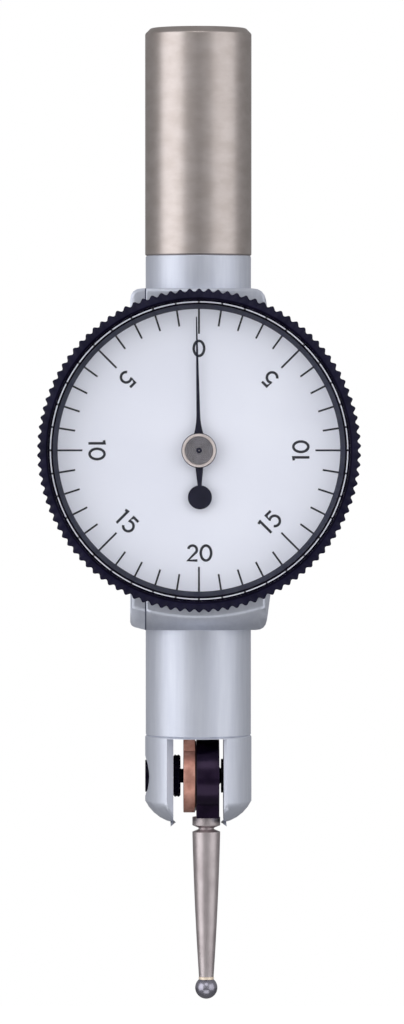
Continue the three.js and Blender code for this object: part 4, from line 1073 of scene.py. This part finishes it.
def makeHub():
    h = hubShape
    top = hubHigh[1] - hubLow[1]
    corners = [
        (h["bore"], 0),
        (h["sleeve"], 0),
        (h["sleeve"], top - h["flange"]),
        (h["rim"], top - h["flange"]),
        (h["rim"], top),
        (h["dish"], top),
        (h["dish"], top - h["dishDepth"]),
        (h["bore"], top - h["dishDepth"]),
    ]
    section = roundedLine(corners, h["rounds"], h["edgeSteps"], closed=True)
    points, faces = turnedMesh(section, h["steps"])
    finishPiece(
        "hubRim", onDial(points, hubHigh[1]), faces, "pointer_assembly", "brass", ["pointer_hub"]
    )
    # A thin black ring just outside the brass rim: painted shade that draws the dark outline at the
    # hub's edge.
    shadeRingInner = h["rim"] + h["gap"]
    shadeRing = [
        (shadeRingInner, top - h["flange"]),
        (h["shadeRing"], top - h["flange"]),
        (h["shadeRing"], top - h["shadeRingDrop"]),
        (shadeRingInner, top - h["shadeRingDrop"]),
    ]
    points, faces = turnedMesh(shadeRing, h["steps"])
    finishPiece("hubShadeRing", onDial(points, hubHigh[1]), faces, "pointer_assembly", "pointerBlack")
    outer, deep = h["dish"] - h["faceGap"], top - h["dishDepth"]
    share = np.linspace(0, 1, h["rings"] * h["ringSteps"])
    marks = top - h["ringDrop"] + h["ringRise"] * np.sin(share * h["rings"] * turnFull)
    start = outer - h["ringMargin"]
    turned = np.column_stack([start + (h["pit"] - start) * share, marks])
    face = np.concatenate(
        [[(h["pit"], deep), (outer, deep), (outer, top - h["faceDrop"])], turned]
    )
    points, faces = turnedMesh(face, h["steps"])
    finishPiece("hubFace", onDial(points, hubHigh[1]), faces, "pointer_assembly", "hubGrey")
    # A black lining in the centre hole of the hub: painted shade in the hole, with a small eye left
    # open at its middle.
    pitWall = h["pit"] - h["gap"]
    pit = [
        (h["eye"], deep - h["faceGap"]),
        (pitWall, deep - h["faceGap"]),
        (pitWall, top - h["pitDrop"]),
        (h["eye"], deep + h["gap"]),
    ]
    points, faces = turnedMesh(pit, h["steps"])
    finishPiece("hubPaintedShadePit", onDial(points, hubHigh[1]), faces, "pointer_assembly", "pointerBlack")


makeHub()
print("pointer made")

# Contact point

contactShape = {
    "collar": 1.25,
    "collarLength": 0.75,
    "groove": 0.695,
    "grooveLength": 0.58,
    "tip": 0.66,
    "bulge": 0.07,
    "spigot": 0.8,
    "spigotLength": 1.7,
    "braze": 0.19,
    "brazeGap": 0.012,
    "brazeLap": 0.02,
    "brazeShare": 0.5,  # the ring starts at this much of the tip's radius
    "neckHalf": 0.06,
    "taperEase": 0.06,
    "tipEase": 0.03,
    "edge": 0.05,
    "shoulderEdge": 0.04,
    "taperSteps": 40,
    "cupSteps": 8,
    "ballSteps": 49,
    "steps": 96,
}


def makeContact():
    c = contactShape
    foot = contactTop - c["spigotLength"]
    grooveTop = foot - c["collarLength"]
    taperTop = grooveTop - c["grooveLength"]
    ballRadius = (ballHigh[2] - ballLow[2]) / 2
    cup = ballRadius + c["braze"]
    rim = ballZ + math.sqrt(cup**2 - c["tip"] ** 2)
    t = np.linspace(0, 1, c["taperSteps"])
    radius = c["tip"] + (c["collar"] - c["tip"]) * t + 4 * c["bulge"] * t * (1 - t)
    taper = np.column_stack([radius, rim + (taperTop - c["taperEase"] - rim) * t])
    seat = np.linspace(0, c["tip"] - c["tipEase"], c["cupSteps"])
    cupLine = np.column_stack([seat, ballZ + np.sqrt(cup**2 - seat**2)])
    middle, edge = (grooveTop + taperTop) / 2, c["edge"]
    upper = roundedLine(
        [
            (c["collar"], taperTop - edge),
            (c["collar"], taperTop),
            (c["groove"], middle - c["neckHalf"]),
            (c["groove"], middle + c["neckHalf"]),
            (c["collar"], grooveTop),
            (c["collar"], foot),
            (c["spigot"], foot),
            (c["spigot"], contactTop),
            (0, contactTop),
        ],
        [0, c["shoulderEdge"], edge, edge, edge, edge, 0, edge, 0],
    )
    profile = np.concatenate([cupLine, taper, upper])
    points, faces = turnedMesh(profile, c["steps"])
    finishPiece(
        "contactStem", upright(points, contactX), faces, "stylus_assembly", "steel",
        ["contact_stem"],
    )
    seat = np.linspace(c["tip"] * c["brazeShare"], c["tip"] + c["brazeLap"], c["cupSteps"])
    gap = c["brazeGap"]
    under = np.column_stack([seat, ballZ + np.sqrt((ballRadius + gap) ** 2 - seat**2)])
    over = np.column_stack([seat, ballZ + np.sqrt((cup - gap) ** 2 - seat**2)])[::-1]
    points, faces = turnedMesh(np.concatenate([under, over]), c["steps"])
    finishPiece("contactBraze", upright(points, contactX), faces, "stylus_assembly", "braze")
    turn = np.linspace(-math.pi / 2, math.pi / 2, c["ballSteps"])
    ball = np.column_stack([ballRadius * np.cos(turn), ballZ + ballRadius * np.sin(turn)])
    ball[0, 0] = ball[-1, 0] = 0
    points, faces = turnedMesh(ball, c["steps"])
    finishPiece(
        "contactBall", upright(points, contactX), faces, "stylus_assembly", "carbide",
        ["contact_ball"],
    )


makeContact()
print("contact made")

# Pieces in the fork

leverShape = {
    "radius": 3.3,
    "arm": 2.4,
    "rootWidth": 4.6,
    "rootRise": 4.6,
    "rootTaper": 1.8,
    "edge": 0.06,
    "discSteps": 120,
    "endSteps": 24,
}


def makeLever():
    s = leverShape
    half, rootHalf = s["arm"] / 2, s["rootWidth"] / 2
    reach = leverHigh[2] - pivotZ
    taperTop = s["rootRise"] + s["rootTaper"]
    opening = math.degrees(math.asin(rootHalf / s["radius"]))
    disc = arcPoints((0, 0), s["radius"], 90 + opening, 450 - opening, s["discSteps"])
    right = [(rootHalf, s["rootRise"]), (half, taperTop)]
    top = arcPoints((0, reach - half), half, 0, 180, s["endSteps"])
    left = [(-half, taperTop), (-rootHalf, s["rootRise"])]
    outline = np.concatenate([disc, right, top, left])
    points, faces = plateMesh(outline, leverLow[0], leverHigh[0], s["edge"])
    finishPiece(
        "clutchLever", onPivot(points), faces, "lever_assembly", "bronze", ["measuring_lever"]
    )


makeLever()

holderShape = {"radius": 3.3, "foot": 2.1, "edge": 0.06, "steps": 120}


def makeHolder():
    s = holderShape
    drop = pivotZ - holderLow[2]
    opening = math.degrees(math.asin(s["foot"] / s["radius"]))
    head = arcPoints((0, 0), s["radius"], opening - 90, 270 - opening, s["steps"])
    outline = np.concatenate([[(-s["foot"], -drop), (s["foot"], -drop)], head])
    points, faces = plateMesh(outline, holderLow[0], holderHigh[0], s["edge"])
    finishPiece(
        "stylusHolder", onPivot(points), faces, "stylus_assembly", "holderBlack",
        ["stylus_holder"],
    )


makeHolder()

nutShape = {
    "radius": 1.91,
    "teeth": 22,
    "toothSteps": 8,
    "depth": 0.14,
    "groove": 0.08,
    "rim": 0.17,
    "bore": 1.05,
    "profile": [  # share of the width, of the rim's drop and of the groove's depth
        (0, 1, 0),
        (0.22, 0.05, 0),
        (0.3, 0, 0),
        (0.4, 0, 0.6),
        (0.5, 0, 1),
        (0.6, 0, 0.6),
        (0.7, 0, 0),
        (0.78, 0.05, 0),
        (1, 1, 0),
    ],
}


# Radius over turn and width: cosine teeth round the rim, a shallow groove between its two edges,
# and a slope down to each face.
def makeNut():
    s = nutShape
    low, high = nutLow[0], nutHigh[0]
    columns = s["teeth"] * s["toothSteps"]
    turn = np.arange(columns) / columns * turnFull
    tooth = s["depth"] / 2 * (1 - np.cos(turn * s["teeth"]))
    share, rimDrop, grooveDrop = np.array(s["profile"], float).T
    drop = rimDrop * s["rim"] + grooveDrop * s["groove"]
    outer = s["radius"] - drop[:, None] - tooth[None, :]
    height = low + (high - low) * share
    bore = np.full((2, columns), s["bore"])
    radius = np.concatenate([outer, bore])
    levels = np.concatenate([height, [high, low]])
    points = np.stack(
        [radius * np.cos(turn), radius * np.sin(turn), np.repeat(levels[:, None], columns, axis=1)],
        axis=-1,
    ).reshape(-1, 3)
    finishPiece(
        "lockNut", onPivot(points), gridFaces(len(levels), columns, True), "body", "blackSteel",
        ["pivot_lock_nut"],
    )


makeNut()
softenedPiece("pivotScrewEnd", "pivot_screw", "body", "blackSteel")
softenedPiece("pivotBearingCup", "pivot_bearing", "body", "blackSteel")
softenedPiece("pivotShaftCones", "pivot_shaft", "lever_assembly", "blackSteel")
print("fork pieces made")

# Floor, light and camera

studioLook = {
    "floorDrop": 200,
    "floorTone": 0.36,
    "floorSize": 4000,
    "skyLight": 0.87,
    "behind": 0.27,
    "front": 0.48,
    "ahead": 0.1,  # the dark round the camera, which the flat faces and the crystal mirror
    "aheadWide": (0.11, 0.05),
    "aheadTall": (0.4, 0.26),
    "bounced": 0.5,  # more reflections than this
    "floorPale": 0.85,
    "floorGlow": 1.16,
    "floorRough": 0.9,
}


def skyNode(tree, strength):
    node = tree.nodes.new("ShaderNodeBackground")
    node.inputs["Color"].default_value = (1, 1, 1, 1)
    feed(tree, node.inputs["Strength"], strength)
    return node.outputs["Background"]


# White to the camera and through the crystal. Metal, and what the crystal reflects inside, sees
# the grey studio that the soft lamps stand in.
def makeWorld():
    s = studioLook
    world = bpy.data.worlds.new("studio")
    bpy.context.scene.world = world
    world.use_nodes = True
    tree = world.node_tree
    tree.nodes.clear()
    place = splitNode(tree, "Generated")
    grey = rangeNode(tree, place["Y"], (-1, 1), (s["front"], s["behind"]))
    patch = mathNode(tree, "LESS_THAN", place["Y"], 0)
    for axis, edges in (("X", s["aheadWide"]), ("Z", s["aheadTall"])):
        size = mathNode(tree, "ABSOLUTE", place[axis])
        band = rangeNode(tree, size, edges, (0, 1), "SMOOTHSTEP")
        patch = mathNode(tree, "MULTIPLY", patch, band)
    dark = rangeNode(tree, patch, (0, 1), (grey, s["ahead"]))
    ray = tree.nodes.new("ShaderNodeLightPath").outputs
    bounced = mathNode(tree, "GREATER_THAN", ray["Glossy Depth"], s["bounced"])
    through = mathNode(tree, "GREATER_THAN", ray["Is Transmission Ray"], bounced)
    seen = mathNode(tree, "MAXIMUM", ray["Is Camera Ray"], through)
    mirrored = mathNode(tree, "MAXIMUM", ray["Is Glossy Ray"], bounced)
    sky = mixShaders(tree, mirrored, skyNode(tree, s["skyLight"]), skyNode(tree, dark))
    final = mixShaders(tree, seen, sky, skyNode(tree, 1))
    output = tree.nodes.new("ShaderNodeOutputWorld")
    tree.links.new(final, output.inputs["Surface"])


makeWorld()


# The floor takes the object's shadow, and is the white of the backdrop where the camera sees it,
# also through the crystal.
def makeFloor():
    half = studioLook["floorSize"] / 2 * mm
    z = (ballLow[2] - studioLook["floorDrop"]) * mm
    mesh = bpy.data.meshes.new("floor")
    corners = [(-half, -half, z), (half, -half, z), (half, half, z), (-half, half, z)]
    mesh.from_pydata(corners, [], [(0, 1, 2, 3)])
    floor = addObject("floor", mesh)
    material, tree, shader = newMaterial("floorPale")
    shader.inputs["Base Color"].default_value = (*[studioLook["floorTone"]] * 3, 1)
    shader.inputs["Roughness"].default_value = studioLook["floorRough"]
    plain = shader.outputs["BSDF"]
    glow = tree.nodes.new("ShaderNodeEmission")
    glow.inputs["Strength"].default_value = studioLook["floorGlow"]
    pale = mixShaders(tree, studioLook["floorPale"], plain, glow.outputs["Emission"])
    ray = tree.nodes.new("ShaderNodeLightPath").outputs
    seen = mathNode(tree, "MAXIMUM", ray["Is Camera Ray"], ray["Is Transmission Ray"])
    mixed = mixShaders(tree, seen, plain, pale)
    tree.links.new(mixed, tree.nodes["Material Output"].inputs["Surface"])
    mesh.materials.append(material)


makeFloor()

lampLook = [
    # name, azimuth from the front, height over the dial, distance, width, height, radiance
    ("softLeft", -60, -10, 520, 530, 760, 1.25),
    ("softRight", 58, -20, 560, 600, 760, 0.76),
    ("softTop", 0, 300, 420, 260, 220, 1.15),
    ("softLow", 0, -185, 170, 190, 150, 0.85),
]


# Each lamp is a flat panel that faces the dial's centre; its power follows from its radiance.
def makeLamps():
    for name, azimuth, rise, reach, width, height, radiance in lampLook:
        data = bpy.data.lights.new(name, "AREA")
        data.shape = "RECTANGLE"
        data.size, data.size_y = width * mm, height * mm
        data.energy = radiance * math.pi * data.size * data.size_y
        lamp = addObject(name, data)
        turn = math.radians(azimuth)
        place = np.array([math.sin(turn) * reach, -math.cos(turn) * reach, dialZ + rise]) * mm
        lamp.location = place
        back = (place - np.array([0, 0, dialZ * mm])).tolist()
        lamp.rotation_mode = "QUATERNION"
        lamp.rotation_quaternion = Vector(back).to_track_quat("Z", "Y")


makeLamps()

cameraLook = {
    "distance": 560,
    "eyeX": -3.6,
    "eyeZ": -32,
    "aimX": 0.33,
    "aimZ": -43.32,
    "viewHeight": 91.85,
    "sensor": 36,
    "clip": (10, 20000),
}


def makeCamera():
    c = cameraLook
    data = bpy.data.cameras.new("camera")
    data.sensor_width = c["sensor"]
    data.lens = c["sensor"] * c["distance"] / c["viewHeight"]
    data.clip_start, data.clip_end = [edge * mm for edge in c["clip"]]
    camera = addObject("camera", data)
    camera.location = np.array([c["eyeX"], -c["distance"], c["eyeZ"]]) * mm
    sideways, down = c["aimX"] - c["eyeX"], c["aimZ"] - c["eyeZ"]
    pitch = math.atan2(down, math.hypot(sideways, c["distance"]))
    camera.rotation_euler = (math.pi / 2 + pitch, 0, -math.atan2(sideways, c["distance"]))
    bpy.context.scene.camera = camera


makeCamera()
bpy.context.scene.view_settings.view_transform = "Standard"
print("studio made")
